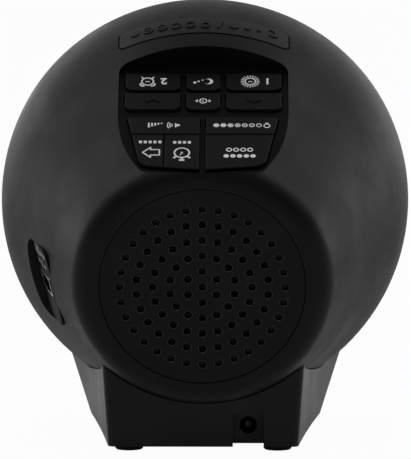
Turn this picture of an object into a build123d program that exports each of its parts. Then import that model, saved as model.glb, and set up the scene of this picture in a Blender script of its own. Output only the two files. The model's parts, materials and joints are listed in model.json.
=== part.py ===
"""Ball-shaped bedside alarm clock with a mood light, a speaker and a keypad.

Millimetres, +Z up. The face looks along -Y and the speaker along +Y. The origin is on the desk, under
the middle of the clock.
"""

import os
from math import acos, atan2, cos, degrees, radians, sin, sqrt, tan

from build123d import *

# Ball and barrel
ball_radius = 70.25
ball_clearance = 8.75  # from the desk to the underside of the ball
tilt = 14.0  # degrees that the barrel dips to the rear
wall = 2.4
seam = 0.3  # gap between neighbouring shells
rim_set = 8.0  # the rear housing ends this far in front of the ball's centre
barrel_reach = 86.2  # ball's centre to the barrel's flat end
barrel_end = 40.94  # radius of the barrel's end before its edge is rounded
barrel_round = 9.0
board_thick = 1.6
screw_radius = 0.9
screw_slack = 0.05
screw_head = 1.8
screw_head_thick = 1.2
screw_bite = 4.0
screw_sink = 1.3  # depth of a counterbore for a screw head

# Face
bezel_depth = 6.2
bezel_bulge = 9.0  # radius of the bezel's rounded front
bezel_step = 0.5  # the bezel starts this much below the ball, which shows as a line
bezel_draw = 2.69  # the bezel narrows this much from its back to its front
bezel_lip = 3.0
bezel_lip_thick = 2.4
tongue_wall = 1.6
tongue_length = 2.0
lens_height = 31.8  # rise of the dome out of the bezel
lens_wall = 2.2
lens_flange = 2.0
lens_flange_reach = 1.9
reflector_wall = 1.8
reflector_flange = 4.2
reflector_back = 6.0  # back of the light dish behind the ball's centre
reflector_slope = 13.5  # width of the dish's sloping side
reflector_screw_inset = 2.05
dish_boss_length = 8.0
dish_boss_width = 5.2
dish_boss_depth = 11.0
display_width = 66.0
display_height = 27.0
display_depth = 7.0
display_gap = 0.9
display_board_rim = 2.0
bracket_width = 60.0
bracket_height = 22.0
bracket_wall = 1.6
bracket_foot = 2.0
light_board_width = 11.0
light_count = 8
light_side = 5.0
light_rise = 1.6
light_inset = 6.6  # from the edge of the dish's floor to the middle of the lamps
post_radius = 3.0
post_height = 6.0
main_board_inset = 5.6  # from the edge of the dish's floor to the board's ends
main_board_height = 56.0
main_board_margin = 5.0
chip_spot = (-12.0, 6.0)
chip_side = 14.0
chip_thick = 2.2
capacitor_spots = ((22.0, -8.0), (31.5, -8.0))
capacitor_radius = 4.0
capacitor_length = 9.0
header_spots = ((-10.0, -22.0), (14.0, 21.0))
header_length = 18.0
header_width = 5.0
header_rise = 4.5

# Control panel
panel_slope = 20.0  # degrees between the panel and the barrel's axis
panel_low_drop = 5.25  # the panel's low end lies this far inside the barrel's end
panel_low_margin = 2.26  # and this far in front of it
panel_half = 28.3
panel_straight = 25.0
panel_low_half = 19.6
panel_side_length = 59.0
panel_length = 62.3
panel_bow = 3.2  # the top edge bows up by this much in its middle
panel_corner = 4.0
panel_low_corner = 4.5
panel_wall = 2.0
plate_thick = 1.5
plate_slack = 0.15
ledge_width = 1.8
ledge_thick = 2.5

# Keys
key_rise = 1.0
key_gap = 0.4
key_round = 0.5
key_corner = 2.6
key_top_corner = 0.8
key_length = 9.0
first_row = 6.0
row_gap = 1.5
middle_half = 5.7
outer_near = 7.6
outer_far = 26.1
block_top = 29.5
block_near = 1.0
block_far = 25.0
block_low_far = 20.4
block_low = 55.0
block_bottom = 57.0
block_corner = 4.5
block_split = 38.6
timer_split = 12.7
key_sink = 0.5  # keys reach this far below the panel's plate
pad_rise = 0.8
pad_inset = 1.6
mat_thick = 1.2
dome_hollow = 0.7
dome_inset = 0.9
boss_radius = 1.5
boss_gap = 0.3
boss_spots = ((10.0, -3.9), (-10.0, -3.9), (22.6, -27.5), (-22.6, -27.5))
key_board_rim = 1.2  # the board laps the ledge by this much
key_board_length = 57.0

# Snooze bar
snooze_margin = 7.2  # between the mouth of the panel's recess and the bar
snooze_length = 57.0
snooze_width = 9.8
snooze_bow = 1.46
snooze_corner = 2.0
snooze_rise = 0.2
snooze_gap = 0.45
snooze_lip = 1.3
snooze_lip_thick = 1.5
stem_radius = 2.5
stem_apart = 28.0
snooze_board_depth = 10.65  # from the ball's surface to the board
snooze_board_length = 46.0
snooze_board_rear = 6.5
snooze_board_front = 12.5
snooze_pad_rise = 1.4
snooze_pad_sheet = 0.5
snooze_pad_width = 6.4
snooze_boss_radius = 2.4
snooze_boss_side = 19.0
snooze_boss_front = 9.5

# Speaker
grille_margin = 1.17  # flat rim of the barrel's end round the grille
grille_thick = 1.6
grille_set = 0.2
grille_slack = 0.3
hole_radius = 1.5
hole_step = 5.43  # between the rings of holes
hole_counts = (6, 14, 20, 26, 32)
seat_thick = 2.6
speaker_bore = 25.0
cloth_thick = 0.2
cloth_slack = 0.2
gasket_thick = 0.6
gasket_width = 3.0
speaker_side = 56.0
speaker_ear = 36.0
speaker_screw_ring = 33.0
speaker_bite = 2.2
flange_thick = 1.2
basket_wall = 1.0
basket_foot = 17.0
basket_hole = 9.0
basket_depth = 15.0
basket_window = 15.0
cone_edge = 22.5
cone_wall = 0.6
cone_neck = 7.0
cone_depth = 11.0
coil_length = 8.0
coil_wall = 0.5
cap_rise = 2.4
surround_thick = 0.5
surround_gap = 0.05
magnet_radius = 16.0
magnet_hole = 8.0
magnet_thick = 8.0
yoke_thick = 2.5
yoke_step = 1.0
pole_radius = 6.0

# Foot
foot_height = 1.7
foot_radius = 4.7
foot_chamfer = 0.4
rear_foot_side = 24.9
rear_foot_set = 53.0  # behind the ball's centre
front_foot_side = 30.5
front_foot_set = -12.0
base_wall = 1.8
base_rear = 60.0  # behind the ball's centre
base_front = -20.0
base_rear_half = 31.7
base_front_half = 40.6
base_rear_flare = 0.074  # sideways lean per millimetre of height
base_front_flare = 0.34
base_rear_top = 33.0
base_front_top = 29.0
base_side_sag = 0.5  # the long sides bow in by this much at the underside
base_side_scoop = 0.1  # and by this much more per millimetre of height
base_corner = 2.5
cradle_wall = 2.2
base_plate_thick = 1.8
base_plate_gap = 0.15
base_boss_radius = 3.2
rear_screw_spot = (25.0, 43.0)
front_screw_spot = (31.0, 4.0)
tie_spots = ((14.0, 8.0), (-14.0, 8.0), (0.0, 46.0))
tie_boss_radius = 3.4
tie_boss_rise = 9.0
tie_seat = 7.0  # height of the seats under the tie screws' heads

# Power inlet
notch_side = -15.1
notch_width = 10.4
notch_depth = 8.0
notch_top = 12.7
jack_width = 9.0
jack_length = 13.0
jack_height = 6.8
jack_bore = 2.9
jack_bore_length = 9.5
jack_pin_radius = 1.0
jack_pin_set = 0.8
power_board_width = 12.4
power_board_length = 24.0
power_board_thick = 1.0

# Backup cell
cell_spot = (12.5, 31.0)
cell_radius = 10.0
cell_thick = 3.2
cell_slack = 0.2
holder_radius = 12.6
holder_roof = 1.0
contact_width = 4.0
door_radius = 10.8
door_gap = 0.25
door_slot_length = 14.0
door_slot_width = 2.2
door_slot_depth = 1.0

# Socket on the side
port_set = 50.4
port_drop = 12.7  # degrees below the horizontal
port_tilt = 10.0
port_sink = 3.6
port_width = 22.0
port_height = 28.0
port_corner = 5.0
port_wall = 1.8
port_ledge = 1.6
socket_wide = 13.4
socket_thick = 6.0
socket_deep = 14.0
socket_skin = 0.45
socket_gap = 0.2
tongue_wide = 11.1
tongue_thick = 1.84
tongue_set = 1.0
tongue_side = 0.6
rail_near = 7.6
rail_thick = 1.6
rail_width = 2.4
port_board_width = 20.0
port_board_length = 13.0

os.makedirs("parts", exist_ok=True)


def save(part, name):
    """Label a finished piece and write it to its own file."""
    part.label = name
    export_step(part, f"parts/{name}.step")


# The barrel's cone leaves the ball without a kink and ends at the barrel's end
ball_height = ball_radius + ball_clearance
barrel_corner = sqrt(barrel_reach**2 + barrel_end**2)
cone_angle = degrees(atan2(barrel_reach, barrel_end) - acos(ball_radius / barrel_corner))
cone_fall = tan(radians(cone_angle))
cone_start = ball_radius * sin(radians(cone_angle))
cone_start_radius = ball_radius * cos(radians(cone_angle))
end_flat = barrel_end - barrel_round * tan(radians(90 - cone_angle) / 2)
grille_radius = end_flat - grille_margin

# Bezel and lens, in radius and reach from the ball's centre
bezel_front = -rim_set - bezel_depth
bezel_back_radius = sqrt(ball_radius**2 - rim_set**2) - bezel_step
bezel_edge = bezel_back_radius - bezel_draw
lip_bore = bezel_edge - bezel_lip
lens_skirt = lip_bore - seam
lip_back = bezel_front + bezel_lip_thick
flange_reach = lens_skirt + lens_flange_reach
tongue_bore = flange_reach + seam
flange_behind = lip_back + lens_flange + reflector_flange
skirt_inner = lens_skirt - lens_wall
lens_radius = (lens_skirt**2 + lens_height**2) / (2 * lens_height)
lens_centre = bezel_front - lens_height + lens_radius
round_centre = barrel_reach - barrel_round
rear_reach = round_centre * cos(radians(tilt)) + end_flat * sin(radians(tilt)) + barrel_round
front_reach = lens_radius - lens_centre * cos(radians(tilt))
ball_y = (front_reach - rear_reach) / 2
reflector_floor = skirt_inner - reflector_slope
reflector_screw_radius = flange_reach - reflector_screw_inset
light_circle = reflector_floor - light_inset
main_board_width = 2 * (reflector_floor - main_board_inset)

# The panel is set out from the barrel's end, and the snooze bar from the mouth of the panel's recess
slope = radians(panel_slope)
panel_top_radius = barrel_end - panel_low_drop + panel_length * sin(slope)
panel_top_set = barrel_reach - panel_low_margin - panel_length * cos(slope)
panel_depth = panel_top_radius * cos(slope) + panel_top_set * sin(slope)
panel_along = panel_top_set * cos(slope) - panel_top_radius * sin(slope)
mouth_rise = sqrt(ball_radius**2 - panel_along**2) - panel_depth
mouth_radius = panel_top_radius + mouth_rise * cos(slope)
mouth_set = panel_top_set + mouth_rise * sin(slope)
lean = atan2(mouth_radius, mouth_set) + (snooze_margin + snooze_width / 2) / ball_radius
snooze_board_set = ball_radius - snooze_board_depth

# Frames. The ball frame looks along the barrel: x to the right as seen from behind, y up, z to the rear.
ball = Plane(
    origin=(0, ball_y, ball_height),
    x_dir=(-1, 0, 0),
    z_dir=(0, cos(radians(tilt)), -sin(radians(tilt))),
)
side = Plane(origin=ball.origin, x_dir=ball.y_dir, z_dir=ball.x_dir)
barrel_axis = Axis(ball.origin, ball.z_dir)
panel = Plane(
    origin=ball.from_local_coords((0, panel_top_radius, panel_top_set)),
    x_dir=ball.x_dir,
    z_dir=ball.y_dir * cos(slope) + ball.z_dir * sin(slope),
)
snooze = Plane(
    origin=ball.origin,
    x_dir=ball.x_dir,
    z_dir=ball.y_dir * sin(lean) + ball.z_dir * cos(lean),
)
drop = radians(port_drop)
port_tip = radians(port_tilt)
port_out = ball.x_dir * -cos(drop) + ball.y_dir * -sin(drop)
port_normal = port_out * cos(port_tip) + ball.z_dir * sin(port_tip)
port_radius = cone_start_radius - (port_set - cone_start) * cone_fall
port = Plane(
    origin=ball.origin + port_out * port_radius + ball.z_dir * port_set - port_normal * port_sink,
    x_dir=ball.z_dir * cos(port_tip) - port_out * sin(port_tip),
    z_dir=port_normal,
)
foot = Plane(origin=(0, ball_y, foot_height))

# Depths below the panel's plate and along the barrel
mat_top = -plate_thick - key_sink - pad_rise
key_board_top = mat_top - mat_thick
key_board_bottom = key_board_top - board_thick
ledge_bottom = -plate_thick - ledge_thick
jack_floor = foot_height + base_plate_thick + power_board_thick
grille_back = barrel_reach - grille_set - grille_thick
speaker_seat = grille_back - seat_thick
flange_front = speaker_seat - gasket_thick
flange_back = flange_front - flange_thick
basket_back = flange_back - basket_depth
inner_sphere = ball_radius - wall
diagonals = (45, 135, 225, 315)


def ball_body(growth, front):
    """Ball and barrel as one solid, with every face moved out by growth, cut flat at front."""
    radius = ball_radius + growth
    end = barrel_reach + growth
    front_point = (sqrt(radius**2 - front**2), front)
    tangent = (radius * cos(radians(cone_angle)), radius * sin(radians(cone_angle)))
    corner = (tangent[0] - (end - tangent[1]) * cone_fall, end)
    with BuildPart() as body:
        with BuildSketch(side):
            with BuildLine():
                RadiusArc(front_point, tangent, -radius)
                Polyline(tangent, corner, (0, end), (0, front), front_point)
            make_face()
            fillet(vertices().sort_by_distance(corner)[0], barrel_round + growth)
        revolve(axis=barrel_axis)
    return body.part


def panel_face(inset):
    """Outline of the control panel's recess, moved in by inset."""
    low = (panel_low_half, -panel_side_length)
    low_left = (-panel_low_half, -panel_side_length)
    right = (panel_half, -panel_straight)
    left = (-panel_half, -panel_straight)
    top_right = (panel_half, -panel_bow)
    top_left = (-panel_half, -panel_bow)
    with BuildSketch() as outline:
        with BuildLine():
            ThreePointArc(top_left, (0, 0), top_right)
            Line(top_right, right)
            TangentArc(right, low, tangent=(0, -1))
            ThreePointArc(low, (0, -panel_length), low_left)
            TangentArc(left, low_left, tangent=(0, -1))
            Line(left, top_left)
        make_face()
        fillet(vertices().group_by(Axis.Y)[-1], panel_corner)
        fillet(vertices().sort_by_distance(low)[0], panel_low_corner)
        fillet(vertices().sort_by_distance(low_left)[0], panel_low_corner)
        if inset:
            offset(amount=-inset)
    return outline.sketch


def row_key(near, far, row):
    """Outline of a key in one of the two upper rows, between two distances from the middle."""
    top = -first_row - row * (key_length + row_gap)
    with BuildSketch() as outline:
        with Locations(((near + far) / 2, top - key_length / 2)):
            Rectangle(far - near, key_length)
        fillet(vertices().group_by(Axis.Y)[0], key_corner)
        fillet(vertices().group_by(Axis.Y)[-1], key_top_corner)
    return outline.sketch


def block_face():
    """Outline of the right-hand block of keys, which tapers with the panel."""
    low = (block_low_far, -block_low)
    with BuildSketch() as outline:
        with BuildLine():
            Polyline(
                (block_near, -block_top),
                (block_far, -block_top),
                low,
                (block_near, -block_bottom),
                close=True,
            )
        make_face()
        fillet(vertices().sort_by_distance(low)[0], block_corner)
        fillet(vertices().group_by(Axis.X)[0], key_top_corner)
        fillet(vertices().group_by(Axis.Y)[-1].sort_by(Axis.X)[-1], key_top_corner)
    return outline.sketch


def block_key(near, far, top, bottom):
    """Part of the right-hand block between two distances from the middle and two from the top."""
    with BuildSketch() as outline:
        add(block_face())
        with Locations(((near + far) / 2, -(top + bottom) / 2)):
            Rectangle(far - near, bottom - top, mode=Mode.INTERSECT)
    return outline.sketch


def left_hand(face):
    """The same outline on the other side of the middle."""
    with BuildSketch() as outline:
        mirror(face, about=Plane.YZ)
    return outline.sketch


def grown(face, amount):
    """The outline moved out by amount, or in where amount is negative."""
    with BuildSketch() as outline:
        offset(face, amount=amount)
    return outline.sketch


def snooze_face(growth):
    """Outline of the snooze bar, which bows with the ball, moved out by growth."""
    half = snooze_length / 2
    rise = snooze_width / 2
    with BuildSketch() as outline:
        with BuildLine():
            front = ThreePointArc((-half, rise - snooze_bow), (0, rise), (half, rise - snooze_bow))
            rear = ThreePointArc((-half, -rise - snooze_bow), (0, -rise), (half, -rise - snooze_bow))
            Line(front @ 0, rear @ 0)
            Line(front @ 1, rear @ 1)
        make_face()
        fillet(vertices(), snooze_corner)
        if growth:
            offset(amount=growth)
    return outline.sketch


def port_face(growth):
    """Outline of the socket's pocket, moved out by growth."""
    with BuildSketch() as outline:
        RectangleRounded(port_width, port_height, port_corner)
        if growth:
            offset(amount=growth)
    return outline.sketch


def base_quad(height, inset):
    """Outline of the foot at a height above its underside, moved in by inset."""
    rear_half = base_rear_half + base_rear_flare * height
    front_half = base_front_half + base_front_flare * height
    waist_half = (rear_half + front_half) / 2 - base_side_sag - base_side_scoop * height
    waist = (base_rear + base_front) / 2
    with BuildSketch() as outline:
        with BuildLine():
            Line((-rear_half, base_rear), (rear_half, base_rear))
            ThreePointArc((rear_half, base_rear), (waist_half, waist), (front_half, base_front))
            Line((front_half, base_front), (-front_half, base_front))
            ThreePointArc((-front_half, base_front), (-waist_half, waist), (-rear_half, base_rear))
        make_face()
        fillet(vertices(), base_corner)
        if inset:
            offset(amount=-inset)
    return outline.sketch


def base_block(inset):
    """The foot's leaning walls as one block, moved in by inset, before the ball is cut out of it."""
    tall = base_rear_top - foot_height
    with BuildPart() as block:
        with BuildSketch(foot):
            add(base_quad(0, inset))
        with BuildSketch(foot.offset(tall)):
            add(base_quad(tall, inset))
        loft(ruled=True)
    return block.part


def screws(seat, spots, length):
    """Pan-head screws, with their heads under the seat and shanks of a given length above it."""
    with BuildPart() as group:
        with BuildSketch(seat):
            with Locations(*spots):
                Circle(screw_head)
        extrude(amount=-screw_head_thick)
        with BuildSketch(seat):
            with Locations(*spots):
                Circle(screw_radius)
        extrude(amount=length)
    return group.part


# Keys, named by what they do. Each has its outline in the panel's plane.
middle = (-middle_half, middle_half)
right_side = (outer_near, outer_far)
left_side = (-outer_far, -outer_near)
upper = block_split - key_gap / 2
lower = block_split + key_gap / 2
outer_part = block_key(timer_split + key_gap / 2, block_far, lower, block_bottom)
inner_part = block_key(0, timer_split - key_gap / 2, lower, block_bottom)
upper_part = block_key(0, block_far, block_top, upper)
key_faces = {
    "alarm_two_key": row_key(*left_side, 0),
    "nap_key": row_key(*middle, 0),
    "alarm_one_key": row_key(*right_side, 0),
    "down_key": row_key(*left_side, 1),
    "set_key": row_key(*middle, 1),
    "up_key": row_key(*right_side, 1),
    "sound_key": left_hand(upper_part),
    "select_key": left_hand(outer_part),
    "timer_key": left_hand(inner_part),
    "light_key": upper_part,
    "colour_key": block_key(0, block_far, lower, block_bottom),
}
block_names = ("sound_key", "select_key", "timer_key", "light_key", "colour_key")
windows = [grown(face, key_gap) for name, face in key_faces.items() if name not in block_names]
windows += [grown(block_face(), key_gap), grown(left_hand(block_face()), key_gap)]

for name, face in key_faces.items():
    with BuildPart() as key:
        with BuildSketch(panel.offset(-plate_thick - key_sink)):
            add(face)
        extrude(amount=plate_thick + key_sink + key_rise)
        fillet(key.faces().sort_by(Axis(panel.origin, panel.z_dir))[-1].edges(), key_round)
    save(key.part, name)

# Control panel: a plate with a window for each key, dropped into the recess
with BuildPart() as control_panel:
    with BuildSketch(panel.offset(-plate_thick)):
        add(panel_face(plate_slack))
    extrude(amount=plate_thick)
    with BuildSketch(panel.offset(-plate_thick)):
        for window in windows:
            add(window)
    extrude(amount=plate_thick, mode=Mode.SUBTRACT)
    with BuildSketch(panel.offset(key_board_top)):
        with Locations(*boss_spots):
            Circle(boss_radius)
    extrude(amount=-plate_thick - key_board_top)
    with BuildSketch(panel.offset(key_board_top)):
        with Locations(*boss_spots):
            Circle(screw_radius + screw_slack)
    extrude(amount=-key_board_top - plate_thick / 2, mode=Mode.SUBTRACT)
save(control_panel.part, "control_panel")

# Keypad mat: silicone sheet on the board, with a raised pad and a hollow under each key
with BuildPart() as keypad_mat:
    with BuildSketch(panel.offset(key_board_top)):
        add(panel_face(ledge_width + boss_gap))
        with Locations(*boss_spots):
            Circle(boss_radius + boss_gap, mode=Mode.SUBTRACT)
    extrude(amount=mat_thick)
    with BuildSketch(panel.offset(mat_top)):
        for face in key_faces.values():
            add(grown(face, -pad_inset))
    extrude(amount=pad_rise)
    with BuildSketch(panel.offset(key_board_top)):
        for face in key_faces.values():
            add(grown(face, -pad_inset - dome_inset))
    extrude(amount=dome_hollow, mode=Mode.SUBTRACT)
save(keypad_mat.part, "keypad_mat")

# Key board: clamps the ledge between itself and the panel's plate
with BuildPart() as key_board:
    with BuildSketch(panel.offset(key_board_bottom)):
        add(panel_face(ledge_width - key_board_rim))
        with Locations((0, -key_board_length / 2)):
            Rectangle(2 * panel_half, key_board_length, mode=Mode.INTERSECT)
        with Locations(*boss_spots):
            Circle(screw_radius + screw_slack, mode=Mode.SUBTRACT)
    extrude(amount=board_thick)
save(key_board.part, "key_board")
key_screw_length = board_thick - key_board_top - plate_thick
save(screws(panel.offset(key_board_bottom), boss_spots, key_screw_length), "key_board_screws")

# Snooze bar: follows the ball, with a lip behind the wall and two stems on the switch pads
lip_sphere = inner_sphere - seam
stem_spots = [(s * stem_apart / 2, 0) for s in (-1, 1)]
stem_top = sqrt((lip_sphere - snooze_lip_thick / 2) ** 2 - (stem_apart / 2) ** 2)
pad_top = snooze_board_set + snooze_pad_rise
with BuildPart() as snooze_lip_ring:
    with BuildSketch(snooze.offset(pad_top)):
        add(snooze_face(snooze_lip))
    extrude(amount=ball_radius - pad_top)
    with Locations(ball):
        Sphere(lip_sphere, mode=Mode.INTERSECT)
with BuildPart() as snooze_bar:
    with BuildSketch(snooze.offset(pad_top)):
        add(snooze_face(0))
    extrude(amount=ball_radius + wall - pad_top)
    with Locations(ball):
        Sphere(ball_radius + snooze_rise, mode=Mode.INTERSECT)
    add(snooze_lip_ring.part)
    with Locations(ball):
        Sphere(lip_sphere - snooze_lip_thick, mode=Mode.SUBTRACT)
    with BuildSketch(snooze.offset(pad_top)):
        with Locations(*stem_spots):
            Circle(stem_radius)
    extrude(amount=stem_top - pad_top)
save(snooze_bar.part, "snooze_bar")

snooze_boss_spots = [(s * snooze_boss_side, snooze_boss_front) for s in (-1, 1)]
with BuildPart() as snooze_pad:
    with BuildSketch(snooze.offset(snooze_board_set)):
        Rectangle(stem_apart + snooze_pad_width, snooze_pad_width)
    extrude(amount=snooze_pad_sheet)
    with BuildSketch(snooze.offset(snooze_board_set)):
        with Locations(*stem_spots):
            Circle(stem_radius)
    extrude(amount=snooze_pad_rise)
save(snooze_pad.part, "snooze_pad")

with BuildPart() as snooze_board:
    with BuildSketch(snooze.offset(snooze_board_set)):
        with Locations((0, (snooze_board_front - snooze_board_rear) / 2)):
            Rectangle(snooze_board_length, snooze_board_front + snooze_board_rear)
        with Locations(*snooze_boss_spots):
            Circle(screw_radius + screw_slack, mode=Mode.SUBTRACT)
    extrude(amount=-board_thick)
save(snooze_board.part, "snooze_board")
snooze_screw_seat = snooze.offset(snooze_board_set - board_thick)
save(screws(snooze_screw_seat, snooze_boss_spots, board_thick + screw_bite), "snooze_screws")

# Rear housing: everything solid inside its cavity is taken out of the cavity first
speaker_spots = [
    (speaker_screw_ring * cos(radians(a)), speaker_screw_ring * sin(radians(a))) for a in diagonals
]
with BuildPart() as cavity:
    add(ball_body(-wall, -rim_set - wall))
    with BuildSketch(panel.offset(ledge_bottom)):
        add(panel_face(-panel_wall))
    extrude(amount=ball_radius, mode=Mode.SUBTRACT)
    with BuildSketch(port.offset(-plate_thick - port_ledge)):
        add(port_face(port_wall))
    extrude(amount=ball_radius, mode=Mode.SUBTRACT)
    with BuildSketch(ball.offset(speaker_seat)):
        Circle(barrel_end)
    extrude(amount=wall + seat_thick, mode=Mode.SUBTRACT)
    with BuildSketch(snooze.offset(snooze_board_set)):
        with Locations(*snooze_boss_spots):
            Circle(snooze_boss_radius)
    extrude(amount=ball_radius - snooze_board_set, mode=Mode.SUBTRACT)
    with BuildSketch(Plane((0, ball_y, 0))):
        with Locations(*tie_spots):
            Circle(tie_boss_radius)
    extrude(amount=ball_height - inner_sphere + tie_boss_rise, mode=Mode.SUBTRACT)
    dish_boss_radius = reflector_screw_radius + (dish_boss_length - dish_boss_width) / 2
    with BuildSketch(ball.offset(flange_behind)):
        with PolarLocations(dish_boss_radius, 4, start_angle=45):
            Rectangle(dish_boss_length, dish_boss_width)
    extrude(amount=dish_boss_depth, mode=Mode.SUBTRACT)

with BuildPart() as rear_housing:
    add(ball_body(0, -rim_set))
    add(cavity.part, mode=Mode.SUBTRACT)
    with BuildSketch(panel.offset(-plate_thick)):
        add(panel_face(0))
    extrude(amount=ball_radius, mode=Mode.SUBTRACT)
    with BuildSketch(panel.offset(ledge_bottom)):
        add(panel_face(ledge_width))
    extrude(amount=ledge_thick, mode=Mode.SUBTRACT)
    with BuildSketch(port.offset(-plate_thick)):
        add(port_face(0))
    extrude(amount=ball_radius, mode=Mode.SUBTRACT)
    with BuildSketch(port.offset(-plate_thick - port_ledge)):
        add(port_face(-port_ledge))
    extrude(amount=port_ledge, mode=Mode.SUBTRACT)
    with BuildSketch(snooze.offset(snooze_board_set)):
        add(snooze_face(snooze_gap))
    extrude(amount=ball_radius, mode=Mode.SUBTRACT)
    with BuildSketch(ball.offset(speaker_seat)):
        Circle(speaker_bore)
    extrude(amount=wall + seat_thick, mode=Mode.SUBTRACT)
    with BuildSketch(ball.offset(grille_back)):
        Circle(grille_radius + grille_slack)
    extrude(amount=wall, mode=Mode.SUBTRACT)
    with BuildSketch(ball.offset(speaker_seat)):
        with Locations(*speaker_spots):
            Circle(screw_radius + screw_slack)
    extrude(amount=seat_thick - cloth_thick, mode=Mode.SUBTRACT)
    with BuildSketch(snooze.offset(snooze_board_set)):
        with Locations(*snooze_boss_spots):
            Circle(screw_radius + screw_slack)
    extrude(amount=screw_bite + screw_slack, mode=Mode.SUBTRACT)
    with BuildSketch(Plane((0, ball_y, 0))):
        with Locations(*tie_spots):
            Circle(screw_radius + screw_slack)
    extrude(amount=ball_height - inner_sphere + tie_boss_rise, mode=Mode.SUBTRACT)
    with BuildSketch(ball.offset(flange_behind)):
        with PolarLocations(reflector_screw_radius, 4, start_angle=45):
            Circle(screw_radius + screw_slack)
    extrude(amount=screw_bite + screw_slack, mode=Mode.SUBTRACT)
save(rear_housing.part, "rear_housing")

# Front bezel: carries on the ball's line, holds the dome by its flange and has a tongue in the housing
with BuildPart() as front_bezel:
    with BuildSketch(side):
        with BuildLine():
            RadiusArc((bezel_edge, bezel_front), (bezel_back_radius, -rim_set), bezel_bulge)
            Polyline(
                (bezel_back_radius, -rim_set),
                (tongue_bore + tongue_wall, -rim_set),
                (tongue_bore + tongue_wall, tongue_length - rim_set),
                (tongue_bore, tongue_length - rim_set),
                (tongue_bore, lip_back),
                (lip_bore, lip_back),
                (lip_bore, bezel_front),
                (bezel_edge, bezel_front),
            )
        make_face()
    revolve(axis=barrel_axis)
save(front_bezel.part, "front_bezel")

# Front lens: translucent dome with a skirt and a flange
dome_inner = lens_radius - lens_wall
skirt_start = (skirt_inner, lens_centre - sqrt(dome_inner**2 - skirt_inner**2))
with BuildPart() as front_lens:
    with BuildSketch(side):
        with BuildLine():
            RadiusArc((0, lens_centre - lens_radius), (lens_skirt, bezel_front), -lens_radius)
            Polyline(
                (lens_skirt, bezel_front),
                (lens_skirt, lip_back),
                (flange_reach, lip_back),
                (flange_reach, lip_back + lens_flange),
                (skirt_inner, lip_back + lens_flange),
                skirt_start,
            )
            RadiusArc(skirt_start, (0, lens_centre - dome_inner), dome_inner)
            Line((0, lens_centre - dome_inner), (0, lens_centre - lens_radius))
        make_face()
    revolve(axis=barrel_axis)
save(front_lens.part, "front_lens")

# Light dish behind the lens, with posts for the main board on its back
post_spots = [
    (x * (main_board_width / 2 - main_board_margin), y * (main_board_height / 2 - main_board_margin))
    for x in (-1, 1)
    for y in (-1, 1)
]
dish_front = lip_back + lens_flange
dish_floor = reflector_back - reflector_wall
dish_fall = (skirt_inner - reflector_floor) / (dish_floor - dish_front)
dish_skin = reflector_wall * sqrt(1 + dish_fall**2)
with BuildPart() as light_reflector:
    with BuildSketch(side):
        with BuildLine():
            Polyline(
                (skirt_inner, dish_front),
                (flange_reach, dish_front),
                (flange_reach, flange_behind),
                (skirt_inner + dish_skin - dish_fall * reflector_flange, flange_behind),
                (skirt_inner + dish_skin - dish_fall * (reflector_back - dish_front), reflector_back),
                (0, reflector_back),
                (0, dish_floor),
                (reflector_floor, dish_floor),
                close=True,
            )
        make_face()
    revolve(axis=barrel_axis)
    with BuildSketch(ball.offset(reflector_back)):
        with Locations(*post_spots):
            Circle(post_radius)
    extrude(amount=post_height)
    with BuildSketch(ball.offset(reflector_back + post_height)):
        with Locations(*post_spots):
            Circle(screw_radius + screw_slack)
    extrude(amount=-screw_bite - screw_slack, mode=Mode.SUBTRACT)
    with BuildSketch(ball.offset(dish_front)):
        with PolarLocations(reflector_screw_radius, 4, start_angle=45):
            Circle(screw_head + screw_slack)
    extrude(amount=screw_sink, mode=Mode.SUBTRACT)
    with BuildSketch(ball.offset(dish_front)):
        with PolarLocations(reflector_screw_radius, 4, start_angle=45):
            Circle(screw_radius + screw_slack)
    extrude(amount=reflector_flange, mode=Mode.SUBTRACT)
save(light_reflector.part, "light_reflector")
dish_screw_spots = [
    (reflector_screw_radius * cos(radians(a)), reflector_screw_radius * sin(radians(a))) for a in diagonals
]
dish_screw_length = reflector_flange - screw_sink + screw_bite
save(screws(ball.offset(dish_front + screw_sink), dish_screw_spots, dish_screw_length), "reflector_screws")

# Display: digits on a board, held close behind the dome by a bracket that stands in the dish
display_corner = sqrt(display_width**2 + display_height**2) / 2
display_front = lens_centre - sqrt(dome_inner**2 - display_corner**2) + display_gap
display_back = display_front + display_depth
with BuildPart() as display_digits:
    with BuildSketch(ball.offset(display_front)):
        Rectangle(display_width, display_height)
    extrude(amount=display_depth)
save(display_digits.part, "display_digits")

with BuildPart() as display_board:
    with BuildSketch(ball.offset(display_back)):
        Rectangle(display_width + 2 * display_board_rim, display_height + 2 * display_board_rim)
    extrude(amount=board_thick)
save(display_board.part, "display_board")

with BuildPart() as display_bracket:
    with BuildSketch(ball.offset(display_back + board_thick)):
        Rectangle(bracket_width, bracket_height)
        Rectangle(bracket_width - 2 * bracket_wall, bracket_height - 2 * bracket_wall, mode=Mode.SUBTRACT)
    extrude(amount=dish_floor - display_back - board_thick)
    with BuildSketch(ball.offset(dish_floor)):
        Rectangle(bracket_width + 2 * bracket_foot, bracket_height + 2 * bracket_foot)
        Rectangle(bracket_width - 2 * bracket_wall, bracket_height - 2 * bracket_wall, mode=Mode.SUBTRACT)
    extrude(amount=-bracket_wall)
save(display_bracket.part, "display_bracket")

# Mood light: a ring board with lamps on the floor of the dish
with BuildPart() as light_board:
    with BuildSketch(ball.offset(dish_floor)):
        Circle(light_circle + light_board_width / 2)
        Circle(light_circle - light_board_width / 2, mode=Mode.SUBTRACT)
    extrude(amount=-board_thick)
save(light_board.part, "light_board")

with BuildPart() as mood_lights:
    with BuildSketch(ball.offset(dish_floor - board_thick)):
        with PolarLocations(light_circle, light_count, start_angle=180 / light_count):
            Rectangle(light_side, light_side)
    extrude(amount=-light_rise)
save(mood_lights.part, "mood_lights")

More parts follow.
